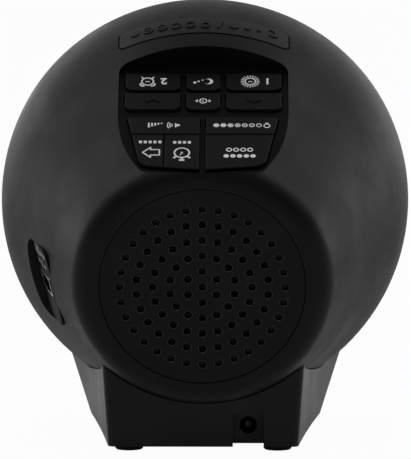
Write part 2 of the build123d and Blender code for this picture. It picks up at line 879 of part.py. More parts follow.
# Main board on the posts, with its larger parts
main_board_front = reflector_back + post_height
main_board_back = main_board_front + board_thick
with BuildPart() as main_board:
    with BuildSketch(ball.offset(main_board_front)):
        Rectangle(main_board_width, main_board_height)
        with Locations(*post_spots):
            Circle(screw_radius + screw_slack, mode=Mode.SUBTRACT)
    extrude(amount=board_thick)
save(main_board.part, "main_board")
save(screws(-ball.offset(main_board_back), post_spots, board_thick + screw_bite), "main_board_screws")

with BuildPart() as board_parts:
    with BuildSketch(ball.offset(main_board_back)):
        with Locations(chip_spot):
            Rectangle(chip_side, chip_side)
    extrude(amount=chip_thick)
    with BuildSketch(ball.offset(main_board_back)):
        with Locations(*capacitor_spots):
            Circle(capacitor_radius)
    extrude(amount=capacitor_length)
    with BuildSketch(ball.offset(main_board_back)):
        with Locations(*header_spots):
            Rectangle(header_length, header_width)
    extrude(amount=header_rise)
save(board_parts.part, "board_parts")

# Speaker grille: round holes in rings; the seat behind closes the outermost ring
with BuildPart() as speaker_grille:
    with BuildSketch(ball.offset(grille_back)):
        Circle(grille_radius)
        Circle(hole_radius, mode=Mode.SUBTRACT)
        for ring, count in enumerate(hole_counts, start=1):
            with PolarLocations(ring * hole_step, count, start_angle=90):
                Circle(hole_radius, mode=Mode.SUBTRACT)
    extrude(amount=grille_thick)
save(speaker_grille.part, "speaker_grille")

with BuildPart() as grille_cloth:
    with BuildSketch(ball.offset(grille_back)):
        Circle(speaker_bore - cloth_slack)
    extrude(amount=-cloth_thick)
save(grille_cloth.part, "grille_cloth")

with BuildPart() as speaker_gasket:
    with BuildSketch(ball.offset(flange_front)):
        Circle(speaker_bore + gasket_width)
        Circle(speaker_bore, mode=Mode.SUBTRACT)
    extrude(amount=gasket_thick)
save(speaker_gasket.part, "speaker_gasket")

# Speaker basket: square flange with cut corners, an open cone of four arms and a ring for the magnet
with BuildPart() as speaker_basket:
    with BuildSketch(side):
        with BuildLine():
            Polyline(
                (speaker_bore, flange_back),
                (basket_foot, basket_back + basket_wall),
                (basket_hole, basket_back + basket_wall),
                (basket_hole, basket_back),
                (basket_foot + basket_wall, basket_back),
                (speaker_bore + 2 * basket_wall, flange_back),
                close=True,
            )
        make_face()
    revolve(axis=barrel_axis)
    with BuildSketch(ball.offset(basket_back + 2 * basket_wall)):
        with PolarLocations(speaker_bore, 4):
            Rectangle(speaker_bore, basket_window)
    extrude(amount=basket_depth - 4 * basket_wall, mode=Mode.SUBTRACT)
    with BuildSketch(ball.offset(flange_back)):
        Rectangle(speaker_side, speaker_side)
        Circle(speaker_ear, mode=Mode.INTERSECT)
        Circle(speaker_bore, mode=Mode.SUBTRACT)
        with Locations(*speaker_spots):
            Circle(screw_radius + screw_slack, mode=Mode.SUBTRACT)
    extrude(amount=flange_thick)
save(speaker_basket.part, "speaker_basket")
speaker_screw_length = flange_thick + gasket_thick + speaker_bite
save(screws(ball.offset(flange_back), speaker_spots, speaker_screw_length), "speaker_screws")

# Speaker cone: paper cone, dust cap and voice coil in one
cone_top = flange_back + flange_thick / 2
neck_top = cone_top - cone_depth
coil_bore = cone_neck - coil_wall
with BuildPart() as speaker_cone:
    with BuildSketch(side):
        with BuildLine():
            Polyline(
                (cone_neck + cone_wall, neck_top + cone_wall),
                (cone_edge, cone_top),
                (cone_edge, cone_top - cone_wall),
                (cone_neck, neck_top - cone_wall),
                (cone_neck, neck_top - coil_length),
                (coil_bore, neck_top - coil_length),
                (coil_bore, neck_top),
            )
            TangentArc((0, neck_top + cap_rise), (coil_bore, neck_top), tangent=(1, 0))
            Line((0, neck_top + cap_rise), (0, neck_top + cap_rise + cone_wall))
            TangentArc(
                (0, neck_top + cap_rise + cone_wall),
                (cone_neck + cone_wall, neck_top + cone_wall),
                tangent=(1, 0),
            )
        make_face()
    revolve(axis=barrel_axis)
save(speaker_cone.part, "speaker_cone")

roll_centre = (cone_edge + speaker_bore) / 2
roll_outer = (speaker_bore - cone_edge) / 2 - surround_gap
with BuildPart() as speaker_surround:
    with BuildSketch(side):
        with BuildLine():
            outer = CenterArc((roll_centre, flange_back), roll_outer, 0, 180)
            inner = CenterArc((roll_centre, flange_back), roll_outer - surround_thick, 0, 180)
            Line(outer @ 0, inner @ 0)
            Line(outer @ 1, inner @ 1)
        make_face()
    revolve(axis=barrel_axis)
save(speaker_surround.part, "speaker_surround")

with BuildPart() as speaker_magnet:
    with BuildSketch(ball.offset(basket_back)):
        Circle(magnet_radius)
        Circle(magnet_hole, mode=Mode.SUBTRACT)
    extrude(amount=-magnet_thick)
save(speaker_magnet.part, "speaker_magnet")

with BuildPart() as speaker_yoke:
    with BuildSketch(ball.offset(basket_back - magnet_thick)):
        Circle(magnet_radius - yoke_step)
    extrude(amount=-yoke_thick)
    with BuildSketch(ball.offset(basket_back - magnet_thick)):
        Circle(pole_radius)
    extrude(amount=magnet_thick)
save(speaker_yoke.part, "speaker_yoke")

# Foot: a leaning shell whose top is the ball's own shape
cradle_front = -ball_radius / 2
foot_top = Plane(
    origin=(0, ball_y + base_front, base_front_top),
    x_dir=(1, 0, 0),
    z_dir=(0, base_front_top - base_rear_top, base_rear - base_front),
)
plate_top = foot.offset(base_plate_thick)
notch_spot = (notch_side, base_rear - notch_depth / 2)
notch_box_spot = (notch_side, base_rear - (notch_depth + base_wall) / 2)
base_screw_spots = [(s * x, y) for s in (-1, 1) for x, y in (rear_screw_spot, front_screw_spot)]
jack = Plane(
    origin=(notch_side, ball_y + base_rear - notch_depth - base_wall, jack_floor + jack_height / 2),
    x_dir=(-1, 0, 0),
    z_dir=(0, 1, 0),
)
with BuildPart() as base_cavity:
    add(base_block(base_wall))
    split(bisect_by=foot_top.offset(-cradle_wall), keep=Keep.BOTTOM)
    add(ball_body(seam + cradle_wall, cradle_front), mode=Mode.SUBTRACT)
    with BuildSketch(foot):
        with Locations(notch_box_spot):
            Rectangle(notch_width + 2 * base_wall, notch_depth + base_wall)
    extrude(amount=notch_top + base_wall - foot_height, mode=Mode.SUBTRACT)
    with BuildSketch(plate_top):
        with Locations(*base_screw_spots):
            Circle(base_boss_radius)
    extrude(amount=base_rear_top, mode=Mode.SUBTRACT)
    with BuildSketch(foot.offset(tie_seat - foot_height)):
        with Locations(*tie_spots):
            Circle(tie_boss_radius)
    extrude(amount=base_rear_top, mode=Mode.SUBTRACT)

with BuildPart() as base_shell:
    add(base_block(0))
    split(bisect_by=foot_top, keep=Keep.BOTTOM)
    add(ball_body(seam, cradle_front), mode=Mode.SUBTRACT)
    add(base_cavity.part, mode=Mode.SUBTRACT)
    with BuildSketch(foot):
        with Locations(notch_spot):
            Rectangle(notch_width, notch_depth)
    extrude(amount=notch_top - foot_height, mode=Mode.SUBTRACT)
    with BuildSketch(jack):
        Circle(jack_bore)
    extrude(amount=base_wall, mode=Mode.SUBTRACT)
    with BuildSketch(plate_top):
        with Locations(*base_screw_spots):
            Circle(screw_radius + screw_slack)
    extrude(amount=screw_bite + screw_slack, mode=Mode.SUBTRACT)
    with BuildSketch(plate_top):
        with Locations(*tie_spots):
            Circle(screw_radius + screw_slack)
    extrude(amount=base_rear_top, mode=Mode.SUBTRACT)
save(base_shell.part, "base_shell")

# Base plate: closes the foot from below, round the plug's notch and the battery door
foot_spots = [
    (s * x, y)
    for s in (-1, 1)
    for x, y in ((rear_foot_side, rear_foot_set), (front_foot_side, front_foot_set))
]
with BuildPart() as base_plate:
    with BuildSketch(foot):
        add(base_quad(0, base_wall + base_plate_gap))
        with Locations(notch_box_spot):
            Rectangle(
                notch_width + 2 * (base_wall + base_plate_gap),
                notch_depth + base_wall + 2 * base_plate_gap,
                mode=Mode.SUBTRACT,
            )
        with Locations(cell_spot):
            Circle(door_radius + door_gap, mode=Mode.SUBTRACT)
        with Locations(*base_screw_spots):
            Circle(screw_radius + screw_slack, mode=Mode.SUBTRACT)
    extrude(amount=base_plate_thick)
    with BuildSketch(foot):
        with Locations(*base_screw_spots):
            Circle(screw_head + screw_slack)
    extrude(amount=screw_sink, mode=Mode.SUBTRACT)
save(base_plate.part, "base_plate")
base_screw_length = base_plate_thick - screw_sink + screw_bite
save(screws(foot.offset(screw_sink), base_screw_spots, base_screw_length), "base_screws")
tie_length = ball_height - inner_sphere + tie_boss_rise - tie_seat - screw_slack
save(screws(foot.offset(tie_seat - foot_height), tie_spots, tie_length), "tie_screws")

with BuildPart() as rubber_feet:
    with BuildSketch(foot):
        with Locations(*foot_spots):
            Circle(foot_radius)
    extrude(amount=-foot_height)
    chamfer(rubber_feet.faces().group_by(Axis.Z)[0].edges(), foot_chamfer)
save(rubber_feet.part, "rubber_feet")

# Power inlet: a jack on a small board, its mouth in the far wall of the notch
with BuildPart() as power_board:
    with BuildSketch(plate_top):
        with Locations((notch_side, base_rear - notch_depth - base_wall - power_board_length / 2)):
            Rectangle(power_board_width, power_board_length)
    extrude(amount=power_board_thick)
save(power_board.part, "power_board")

with BuildPart() as dc_jack:
    with BuildSketch(jack):
        Rectangle(jack_width, jack_height)
    extrude(amount=-jack_length)
    with BuildSketch(jack):
        Circle(jack_bore)
    extrude(amount=-jack_bore_length, mode=Mode.SUBTRACT)
save(dc_jack.part, "dc_jack")

with BuildPart() as jack_pin:
    with BuildSketch(jack.offset(-jack_bore_length)):
        Circle(jack_pin_radius)
    extrude(amount=jack_bore_length - jack_pin_set)
save(jack_pin.part, "jack_pin")

# Backup cell: cup on the base plate, cell, contact and round door
cell_floor = plate_top.offset(cell_slack)
cell_top = cell_floor.offset(cell_thick)
with BuildPart() as battery_holder:
    with BuildSketch(plate_top):
        with Locations(cell_spot):
            Circle(holder_radius)
    extrude(amount=cell_thick + 2 * cell_slack + holder_roof)
    with BuildSketch(plate_top):
        with Locations(cell_spot):
            Circle(cell_radius + cell_slack)
    extrude(amount=cell_thick + 2 * cell_slack, mode=Mode.SUBTRACT)
save(battery_holder.part, "battery_holder")

with BuildPart() as coin_cell:
    with BuildSketch(cell_floor):
        with Locations(cell_spot):
            Circle(cell_radius)
    extrude(amount=cell_thick)
save(coin_cell.part, "coin_cell")

with BuildPart() as cell_contact:
    with BuildSketch(cell_top):
        with Locations(cell_spot):
            Rectangle(cell_radius, contact_width)
    extrude(amount=cell_slack)
save(cell_contact.part, "cell_contact")

with BuildPart() as battery_door:
    with BuildSketch(foot):
        with Locations(cell_spot):
            Circle(door_radius)
    extrude(amount=base_plate_thick)
    with BuildSketch(foot):
        with Locations(cell_spot):
            SlotOverall(door_slot_length, door_slot_width)
    extrude(amount=door_slot_depth, mode=Mode.SUBTRACT)
save(battery_door.part, "battery_door")

# Socket on the side: panel with two rails, board across the rails, shell and tongue
socket_half = socket_thick / 2
with BuildPart() as socket_panel:
    with BuildSketch(port.offset(-plate_thick)):
        add(port_face(-plate_slack))
        Rectangle(socket_thick + 2 * socket_gap, socket_wide + 2 * socket_gap, mode=Mode.SUBTRACT)
    extrude(amount=plate_thick)
    with BuildSketch(port.offset(-plate_thick)):
        with Locations(*[(socket_half - rail_width / 2, s * (rail_near + rail_thick / 2)) for s in (-1, 1)]):
            Rectangle(rail_width, rail_thick)
    extrude(amount=-port_board_length)
save(socket_panel.part, "socket_panel")

with BuildPart() as port_board:
    with BuildSketch(port.offset(-plate_thick)):
        with Locations((socket_half + board_thick / 2, 0)):
            Rectangle(board_thick, port_board_width)
    extrude(amount=-port_board_length)
save(port_board.part, "port_board")

with BuildPart() as usb_socket:
    with BuildSketch(port.offset(-socket_gap)):
        Rectangle(socket_thick, socket_wide)
    extrude(amount=-socket_deep)
    with BuildSketch(port.offset(-socket_gap)):
        Rectangle(socket_thick - 2 * socket_skin, socket_wide - 2 * socket_skin)
    extrude(amount=socket_skin - socket_deep, mode=Mode.SUBTRACT)
save(usb_socket.part, "usb_socket")

with BuildPart() as usb_tongue:
    with BuildSketch(port.offset(socket_skin - socket_gap - socket_deep)):
        with Locations((tongue_side, 0)):
            Rectangle(tongue_thick, tongue_wide)
    extrude(amount=socket_deep - socket_skin - tongue_set)
save(usb_tongue.part, "usb_tongue")
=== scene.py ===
"""Looks of the ball-shaped bedside clock, built round its fixed frame.

Metres, in the same frame as the solids. Marks are drawn in millimetres and scaled when they turn solid.
"""

import json
import math
from functools import partial

import bmesh
import bpy
from bpy.props import FloatProperty, FloatVectorProperty, PointerProperty, StringProperty
from mathutils import Matrix, Vector


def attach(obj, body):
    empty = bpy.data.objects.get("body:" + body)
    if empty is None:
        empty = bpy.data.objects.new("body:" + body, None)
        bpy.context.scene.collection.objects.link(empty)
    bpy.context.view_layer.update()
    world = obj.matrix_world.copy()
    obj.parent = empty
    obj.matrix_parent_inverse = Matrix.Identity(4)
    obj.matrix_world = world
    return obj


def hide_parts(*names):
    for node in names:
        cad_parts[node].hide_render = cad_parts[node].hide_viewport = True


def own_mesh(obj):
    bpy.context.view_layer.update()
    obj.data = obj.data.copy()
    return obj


bl_info = {
    "name": "Ball clock looks",
    "version": (1, 0, 0),
    "blender": (4, 5, 0),
    "location": "View3D > Sidebar > Ball clock",
    "description": "Dresses the solids of a ball-shaped bedside clock and sets it on a pale floor",
    "category": "Object",
}

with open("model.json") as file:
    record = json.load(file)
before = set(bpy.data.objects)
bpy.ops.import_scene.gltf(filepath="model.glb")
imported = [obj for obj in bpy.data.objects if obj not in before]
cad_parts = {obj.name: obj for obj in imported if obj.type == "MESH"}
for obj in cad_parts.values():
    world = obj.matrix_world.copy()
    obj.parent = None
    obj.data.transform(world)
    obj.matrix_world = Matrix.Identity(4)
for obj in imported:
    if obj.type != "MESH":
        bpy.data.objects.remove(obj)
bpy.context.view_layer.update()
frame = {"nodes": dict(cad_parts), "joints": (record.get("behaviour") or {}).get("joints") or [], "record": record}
MM = 0.001
ball_middle = Vector((0.0, -0.022683, 0.079))
hole_radius = 1.5 * MM
hole_step = 5.43 * MM  # from one ring of the grille's holes to the next
hole_counts = (6, 14, 20, 26, 32)
marks_above = 8.4 * MM  # from the charging socket's middle to its marks
opening_half = (6.5 * MM, 2.8 * MM)  # half the opening for the socket in the pocket's cover
dust_colour = (0.45, 0.44, 0.42)
# The sky dims along Y from beyond the clock to the camera's side, and along Z from the horizon upwards
sky_fade = (-0.75, 0.15)
sky_rise = (0.1, 0.6)
sky_levels = (1.35, 0.4)


# Settings that a user would change

length = partial(FloatProperty, unit="LENGTH")
angle = partial(FloatProperty, subtype="ANGLE")
watts = partial(FloatProperty, unit="POWER")
amount = partial(FloatProperty, min=0.0)
portion = partial(FloatProperty, subtype="FACTOR", min=0.0, max=1.0)
paint = partial(FloatVectorProperty, subtype="COLOR")


class ClockSizes(bpy.types.PropertyGroup):
    """Sizes of the pieces that are added to the solids"""

    ink_thick: length(name="Ink thickness", description="Height of a print on a key", default=0.00005)
    ink_sink: length(name="Ink sink", description="Depth of a print's back in the key", default=0.00002)
    relief: length(name="Relief", description="Height of the raised marks and lit digits", default=0.0003)
    relief_sink: length(name="Relief sink", description="Depth of a raised mark's back", default=0.0001)
    rim_round: length(name="Hole rounding", description="Radius of the holes' edge", default=0.00018)
    lip_thick: length(name="Socket lip", description="Sheet of the socket's flared mouth", default=0.00035)
    cover_wide: length(name="Cover width", description="Cover on the socket pocket's floor", default=0.0217)
    cover_high: length(name="Cover height", description="Height of that cover", default=0.0277)
    cover_corner: length(name="Cover corner", description="Radius of its corners", default=0.0049)
    cover_thin: length(name="Cover's thin side", description="Thickness by the barrel", default=0.0010)
    cover_tilt: angle(name="Cover's taper", description="Turn of its face", default=math.radians(5))
    digit_high: length(name="Digit height", description="Height of the lit digits", default=0.0185)
    digit_wide: length(name="Digit width", description="Width of the lit digits", default=0.0102)
    digit_step: length(name="Digit step", description="From one lit digit to the next", default=0.0142)
    segment: length(name="Segment width", description="Width of one bar of a digit", default=0.0021)
    shown: StringProperty(name="Shown time", description="Four plain digits on the display", default="1030")


class ClockColours(bpy.types.PropertyGroup):
    """Colours of the finishes, and the strength of the digits' glow"""

    shell: paint(name="Shell", description="Soft-touch shells", default=(0.0026, 0.0029, 0.0028))
    panel: paint(name="Panel", description="Keypad's plate", default=(0.0022, 0.0024, 0.0023))
    key: paint(name="Keys", description="Plastic of the keys", default=(0.0044, 0.0046, 0.0046))
    grille: paint(name="Grille", description="Speaker grille", default=(0.0020, 0.0023, 0.0022))
    foot: paint(name="Foot", description="Foot under the ball", default=(0.0022, 0.0024, 0.0023))
    ink: paint(name="Ink", description="White prints on the keys", default=(0.92, 0.94, 0.93))
    pale_ink: paint(name="Pale ink", description="Grey prints by the socket", default=(0.46, 0.48, 0.51))
    glow: paint(name="Glow", description="Lit bars of the digits", default=(1.0, 0.42, 0.10))
    glow_strength: amount(name="Glow strength", description="How strongly the digits glow", default=4.5)
    floor: paint(name="Floor", description="Plain pale floor", default=(0.60, 0.60, 0.60))


class ClockStudio(bpy.types.PropertyGroup):
    """Camera and light"""

    azimuth: angle(name="Azimuth", description="Camera's turn round Z", default=math.radians(180.6))
    elevation: angle(name="Elevation", description="Camera's rise over level", default=math.radians(6.0))
    distance: length(name="Distance", description="Camera to the ball's middle", default=1.5)
    view_height: length(name="View height", description="What the frame spans at the ball", default=0.1588)
    aim_drop: length(name="Aim below", description="Aim's drop below the ball's middle", default=0.01055)
    aim_side: length(name="Aim beside", description="Aim's way beside the ball's middle", default=0.00017)
    top_power: watts(name="Top light", description="Softbox overhead", default=1.0)
    side_power: watts(name="Side lights", description="Softboxes at the sides", default=10.5)
    rear_power: watts(name="High light", description="Softbox over the camera", default=9.5)
    open_side: amount(name="Bright side", description="Strength of the sky beyond the clock", default=1.35)
    shut_side: amount(name="Dim side", description="Strength of the sky behind the camera", default=0.06)
    floor_half: length(name="Floor half-width", description="Half the floor's width", default=5.0)
    floor_white: portion(name="Floor white", description="How white the camera sees the floor", default=0.97)
    floor_gloss: portion(name="Floor in gloss", description="How much of it glossy faces show", default=0.25)


# Node groups, each built once


def new_group(name, inputs, outputs):
    """Start a shader node group with named number sockets, and return it with its two end nodes."""
    tree = bpy.data.node_groups.new(name, "ShaderNodeTree")
    for label, value in inputs:
        socket = tree.interface.new_socket(label, in_out="INPUT", socket_type="NodeSocketFloat")
        socket.default_value = value
    for label in outputs:
        tree.interface.new_socket(label, in_out="OUTPUT", socket_type="NodeSocketFloat")
    return tree, tree.nodes.new("NodeGroupInput"), tree.nodes.new("NodeGroupOutput")


def feed(tree, socket, value):
    """Link a socket to another one, or give it a plain value."""
    if isinstance(value, bpy.types.NodeSocket):
        tree.links.new(value, socket)
    else:
        socket.default_value = value


def math_node(tree, operation, *values):
    """Add a Math node that works on sockets or numbers, and return its output."""
    node = tree.nodes.new("ShaderNodeMath")
    node.operation = operation
    for socket, value in zip(node.inputs, values):
        feed(tree, socket, value)
    return node.outputs[0]


def object_place(tree):
    """The object's own coordinates."""
    return tree.nodes.new("ShaderNodeTexCoord").outputs["Object"]


def noise_node(tree, scale, detail, place=None):
    """Add a noise on the object's own coordinates, or on others, and return its output."""
    node = tree.nodes.new("ShaderNodeTexNoise")
    node.inputs["Detail"].default_value = detail
    tree.links.new(place or object_place(tree), node.inputs["Vector"])
    feed(tree, node.inputs["Scale"], scale)
    return node.outputs["Fac"]


def stretched_noise(tree, scale, detail, stretch):
    """Noise that is squeezed by a factor on each axis."""
    place = tree.nodes.new("ShaderNodeMapping")
    place.inputs["Scale"].default_value = stretch
    tree.links.new(object_place(tree), place.inputs["Vector"])
    return noise_node(tree, scale, detail, place.outputs["Vector"])


def span_node(tree, value, low, high, to_low=0.0, to_high=1.0):
    """Map one range of a value smoothly to another and return the output."""
    node = tree.nodes.new("ShaderNodeMapRange")
    node.interpolation_type = "SMOOTHSTEP"
    tree.links.new(value, node.inputs["Value"])
    for label, bound in zip(("From Min", "From Max", "To Min", "To Max"), (low, high, to_low, to_high)):
        node.inputs[label].default_value = bound
    return node.outputs["Result"]


def moulded_grain():
    """Fine pebbled grain of a moulded or sprayed surface."""
    tree, start, end = new_group("moulded_grain", [("Scale", 2600.0)], ["Height"])
    pebble = tree.nodes.new("ShaderNodeTexVoronoi")
    pebble.feature = "SMOOTH_F1"
    place = object_place(tree)
    tree.links.new(place, pebble.inputs["Vector"])
    tree.links.new(start.outputs["Scale"], pebble.inputs["Scale"])
    fine = noise_node(tree, math_node(tree, "MULTIPLY", start.outputs["Scale"], 2.3), 1.0, place)
    mixed = math_node(tree, "ADD", pebble.outputs["Distance"], math_node(tree, "MULTIPLY", fine, 0.5))
    tree.links.new(mixed, end.inputs["Height"])
    return tree


def handling():
    """Faint cloudy marks that hands leave, and the slow drift of a sprayed coat."""
    tree, start, end = new_group("handling", [("Scale", 55.0)], ["Mask"])
    place = object_place(tree)
    broad = noise_node(tree, start.outputs["Scale"], 4.0, place)
    small = noise_node(tree, math_node(tree, "MULTIPLY", start.outputs["Scale"], 7.0), 3.0, place)
    cloudy = math_node(tree, "MULTIPLY", span_node(tree, broad, 0.38, 0.68), 0.7)
    patchy = math_node(tree, "MULTIPLY", span_node(tree, small, 0.35, 0.75), 0.3)
    tree.links.new(math_node(tree, "ADD", cloudy, patchy), end.inputs["Mask"])
    return tree


def settled_dust():
    """Specks of dust, more of them on faces that look up."""
    tree, start, end = new_group("settled_dust", [("Scale", 1900.0)], ["Mask"])
    up = tree.nodes.new("ShaderNodeSeparateXYZ")
    tree.links.new(tree.nodes.new("ShaderNodeNewGeometry").outputs["Normal"], up.inputs[0])
    lying = span_node(tree, up.outputs["Z"], 0.1, 1.0)
    sparse = span_node(tree, noise_node(tree, start.outputs["Scale"], 3.0), 0.60, 0.74)
    tree.links.new(math_node(tree, "MULTIPLY", lying, sparse), end.inputs["Mask"])
    return tree


def plain_weave():
    """Over-and-under threads of a plain woven cloth."""
    tree, start, end = new_group("plain_weave", [("Threads", 1400.0)], ["Height", "Opening"])
    split = tree.nodes.new("ShaderNodeSeparateXYZ")
    tree.links.new(object_place(tree), split.inputs[0])
    threads = []
    for axis in ("X", "Z"):
        count = math_node(tree, "MULTIPLY", split.outputs[axis], start.outputs["Threads"])
        wave = math_node(tree, "SINE", math_node(tree, "MULTIPLY", count, math.pi))
        threads.append(math_node(tree, "ABSOLUTE", wave))
    tree.links.new(math_node(tree, "MAXIMUM", *threads), end.inputs["Height"])
    gaps = [math_node(tree, "SUBTRACT", 1.0, thread) for thread in threads]
    hole = math_node(tree, "MULTIPLY", *gaps)
    tree.links.new(span_node(tree, hole, 0.12, 0.3), end.inputs["Opening"])
    return tree


groups = {maker.__name__: maker() for maker in (moulded_grain, handling, settled_dust, plain_weave)}


# Materials. Constants stand on the shader's own sockets, and only what varies is linked.


def place_group(tree, name, **values):
    """Put one of the node groups into a material with its own values."""
    node = tree.nodes.new("ShaderNodeGroup")
    node.node_tree = groups[name]
    for label, value in values.items():
        node.inputs[label].default_value = value
    return node


def shade(colour, times):
    """Colour made lighter or darker."""
    return [channel * times for channel in colour]


def blend_colour(tree, mask, first, second):
    """Mix two colours by a mask and return the output."""
    node = tree.nodes.new("ShaderNodeMix")
    node.data_type = "RGBA"
    tree.links.new(mask, node.inputs["Factor"])
    for socket, value in ((node.inputs[6], first), (node.inputs[7], second)):
        feed(tree, socket, value if isinstance(value, bpy.types.NodeSocket) else (*value[:3], 1.0))
    return node.outputs[2]


def start_material(name, **constants):
    """New material with a Principled shader that has these constants."""
    material = bpy.data.materials.new(name)
    material.use_nodes = True
    shader = material.node_tree.nodes["Principled BSDF"]
    for label, value in constants.items():
        shader.inputs[label.replace("_", " ")].default_value = value
    return material, material.node_tree, shader


def link_bump(tree, shader, height, strength, distance):
    """Feed a height through a Bump node to the shader's normal."""
    bump = tree.nodes.new("ShaderNodeBump")
    bump.inputs["Strength"].default_value = strength
    bump.inputs["Distance"].default_value = distance
    tree.links.new(height, bump.inputs["Height"])
    tree.links.new(bump.outputs["Normal"], shader.inputs["Normal"])


def link_colour(tree, shader, mask, first, second, label="Base Color"):
    """Let a mask lead one of the shader's colours from a first to a second."""
    tree.links.new(blend_colour(tree, mask, first, second), shader.inputs[label])


def link_rough(tree, shader, pattern, low, high):
    """Let a pattern lead the roughness from one value to another."""
    tree.links.new(span_node(tree, pattern, 0.3, 0.7, low, high), shader.inputs["Roughness"])


def moulded_finish(name, colour, smooth, rough, grain, depth, gloss, lift=1.25, dusty=0.0):
    """Moulded or coated plastic and rubber: grain, faint handling marks, and dust where it can lie."""
    material, tree, shader = start_material(name, Specular_IOR_Level=gloss)
    marks = place_group(tree, "handling", Scale=48.0).outputs["Mask"]
    tint = blend_colour(tree, marks, colour, shade(colour, lift))
    if dusty:
        dust = math_node(tree, "MULTIPLY", place_group(tree, "settled_dust").outputs["Mask"], dusty)
        tint = blend_colour(tree, dust, tint, dust_colour)
    tree.links.new(tint, shader.inputs["Base Color"])
    tree.links.new(span_node(tree, marks, 0.0, 1.0, rough, smooth), shader.inputs["Roughness"])
    link_bump(tree, shader, place_group(tree, "moulded_grain", Scale=grain).outputs["Height"], 0.35, depth)
    return material


def metal_finish(name, colour, rough, scale, stretch=(1.0, 1.0, 1.0), darker=0.8):
    """Plated or brushed metal with streaks or spangles."""
    material, tree, shader = start_material(name, Metallic=1.0)
    streaks = stretched_noise(tree, scale, 4.0, stretch)
    link_colour(tree, shader, span_node(tree, streaks, 0.35, 0.65), shade(colour, darker), colour)
    link_rough(tree, shader, streaks, rough * 1.35, rough * 0.8)
    link_bump(tree, shader, streaks, 0.2, 0.00002)
    return material


def woven_finish(name, colour):
    """Open black cloth whose gaps are seen through."""
    material, tree, shader = start_material(name, Specular_IOR_Level=0.15)
    weave = place_group(tree, "plain_weave")
    lint = noise_node(tree, 900.0, 3.0)
    link_colour(tree, shader, lint, colour, shade(colour, 1.8))
    link_rough(tree, shader, lint, 0.75, 0.95)
    tree.links.new(math_node(tree, "SUBTRACT", 1.0, weave.outputs["Opening"]), shader.inputs["Alpha"])
    link_bump(tree, shader, weave.outputs["Height"], 0.8, 0.0001)
    return material


def paper_finish(name, colour):
    """Pressed paper with short fibres."""
    material, tree, shader = start_material(name, Specular_IOR_Level=0.15)
    fibres = stretched_noise(tree, 1100.0, 6.0, (1.0, 0.4, 2.2))
    link_colour(tree, shader, span_node(tree, fibres, 0.4, 0.65), colour, shade(colour, 1.9))
    link_rough(tree, shader, fibres, 0.7, 0.95)
    link_bump(tree, shader, fibres, 0.5, 0.0001)
    return material


def board_finish(name, colour):
    """Solder resist over copper tracks, with tinned dots."""
    material, tree, shader = start_material(name, Specular_IOR_Level=0.5)
    place = object_place(tree)
    tracks = tree.nodes.new("ShaderNodeTexVoronoi")
    tracks.distance = "CHEBYCHEV"
    tracks.inputs["Scale"].default_value = 260.0
    tree.links.new(place, tracks.inputs["Vector"])
    lines = span_node(tree, math_node(tree, "PINGPONG", tracks.outputs["Distance"], 0.12), 0.045, 0.06)
    dots = tree.nodes.new("ShaderNodeTexVoronoi")
    dots.inputs["Scale"].default_value = 330.0
    dots.inputs["Randomness"].default_value = 0.55
    tree.links.new(place, dots.inputs["Vector"])
    pads = span_node(tree, dots.outputs["Distance"], 0.2, 0.15)
    resist = blend_colour(tree, lines, colour, shade(colour, 1.8))
    link_colour(tree, shader, pads, resist, (0.62, 0.62, 0.6))
    tree.links.new(pads, shader.inputs["Metallic"])
    tree.links.new(span_node(tree, lines, 0.0, 1.0, 0.32, 0.42), shader.inputs["Roughness"])
    link_bump(tree, shader, lines, 0.4, 0.00004)
    return material


def smoked_finish(name):
    """Smoked clear plastic with a faint polish haze."""
    material, tree, shader = start_material(name, Transmission_Weight=0.9, IOR=1.49)
    haze = place_group(tree, "handling", Scale=30.0).outputs["Mask"]
    link_colour(tree, shader, haze, (0.30, 0.315, 0.34), (0.36, 0.375, 0.40))
    tree.links.new(span_node(tree, haze, 0.0, 1.0, 0.05, 0.11), shader.inputs["Roughness"])
    return material


def lamp_finish(name):
    """White lamp bodies, yellow in places."""
    material, tree, shader = start_material(name, Specular_IOR_Level=0.5)
    grain = noise_node(tree, 700.0, 3.0)
    link_colour(tree, shader, span_node(tree, grain, 0.45, 0.6), (0.78, 0.78, 0.74), (0.80, 0.70, 0.30))
    link_rough(tree, shader, grain, 0.25, 0.45)
    return material


def ink_finish(name, colour):
    """Printed ink, a little uneven."""
    material, tree, shader = start_material(name, Specular_IOR_Level=0.3)
    spread = noise_node(tree, 2400.0, 3.0)
    link_colour(tree, shader, span_node(tree, spread, 0.3, 0.7), shade(colour, 0.86), colour)
    link_rough(tree, shader, spread, 0.45, 0.65)
    link_bump(tree, shader, spread, 0.2, 0.00002)
    return material


def glow_finish(name, colour, strength):
    """Lit bar of a digit, a little brighter in places."""
    material, tree, shader = start_material(name, Roughness=0.4, Emission_Strength=strength)
    mask = span_node(tree, noise_node(tree, 500.0, 2.0), 0.3, 0.7)
    link_colour(tree, shader, mask, shade(colour, 0.85), colour, "Emission Color")
    link_colour(tree, shader, mask, shade(colour, 0.2), shade(colour, 0.3))
    return material


# Help with meshes. Marks are drawn flat in millimetres, x to the reader's right and y up, then put in place.


def mesh_data(name, mesh):
    """Turn a bmesh into mesh data of this name, and free it."""
    data = bpy.data.meshes.new(name)
    mesh.to_mesh(data)
    mesh.free()
    return data


def new_piece(name, mesh):
    """Object with a bmesh for its mesh, which is freed, or with ready mesh data."""
    data = mesh_data(name, mesh) if isinstance(mesh, bmesh.types.BMesh) else mesh
    piece = bpy.data.objects.new(name, data)
    bpy.context.scene.collection.objects.link(piece)
    return piece


def finish(piece, material):
    """Give an object one material in place of those it has."""
    piece.data.materials.clear()
    piece.data.materials.append(material)


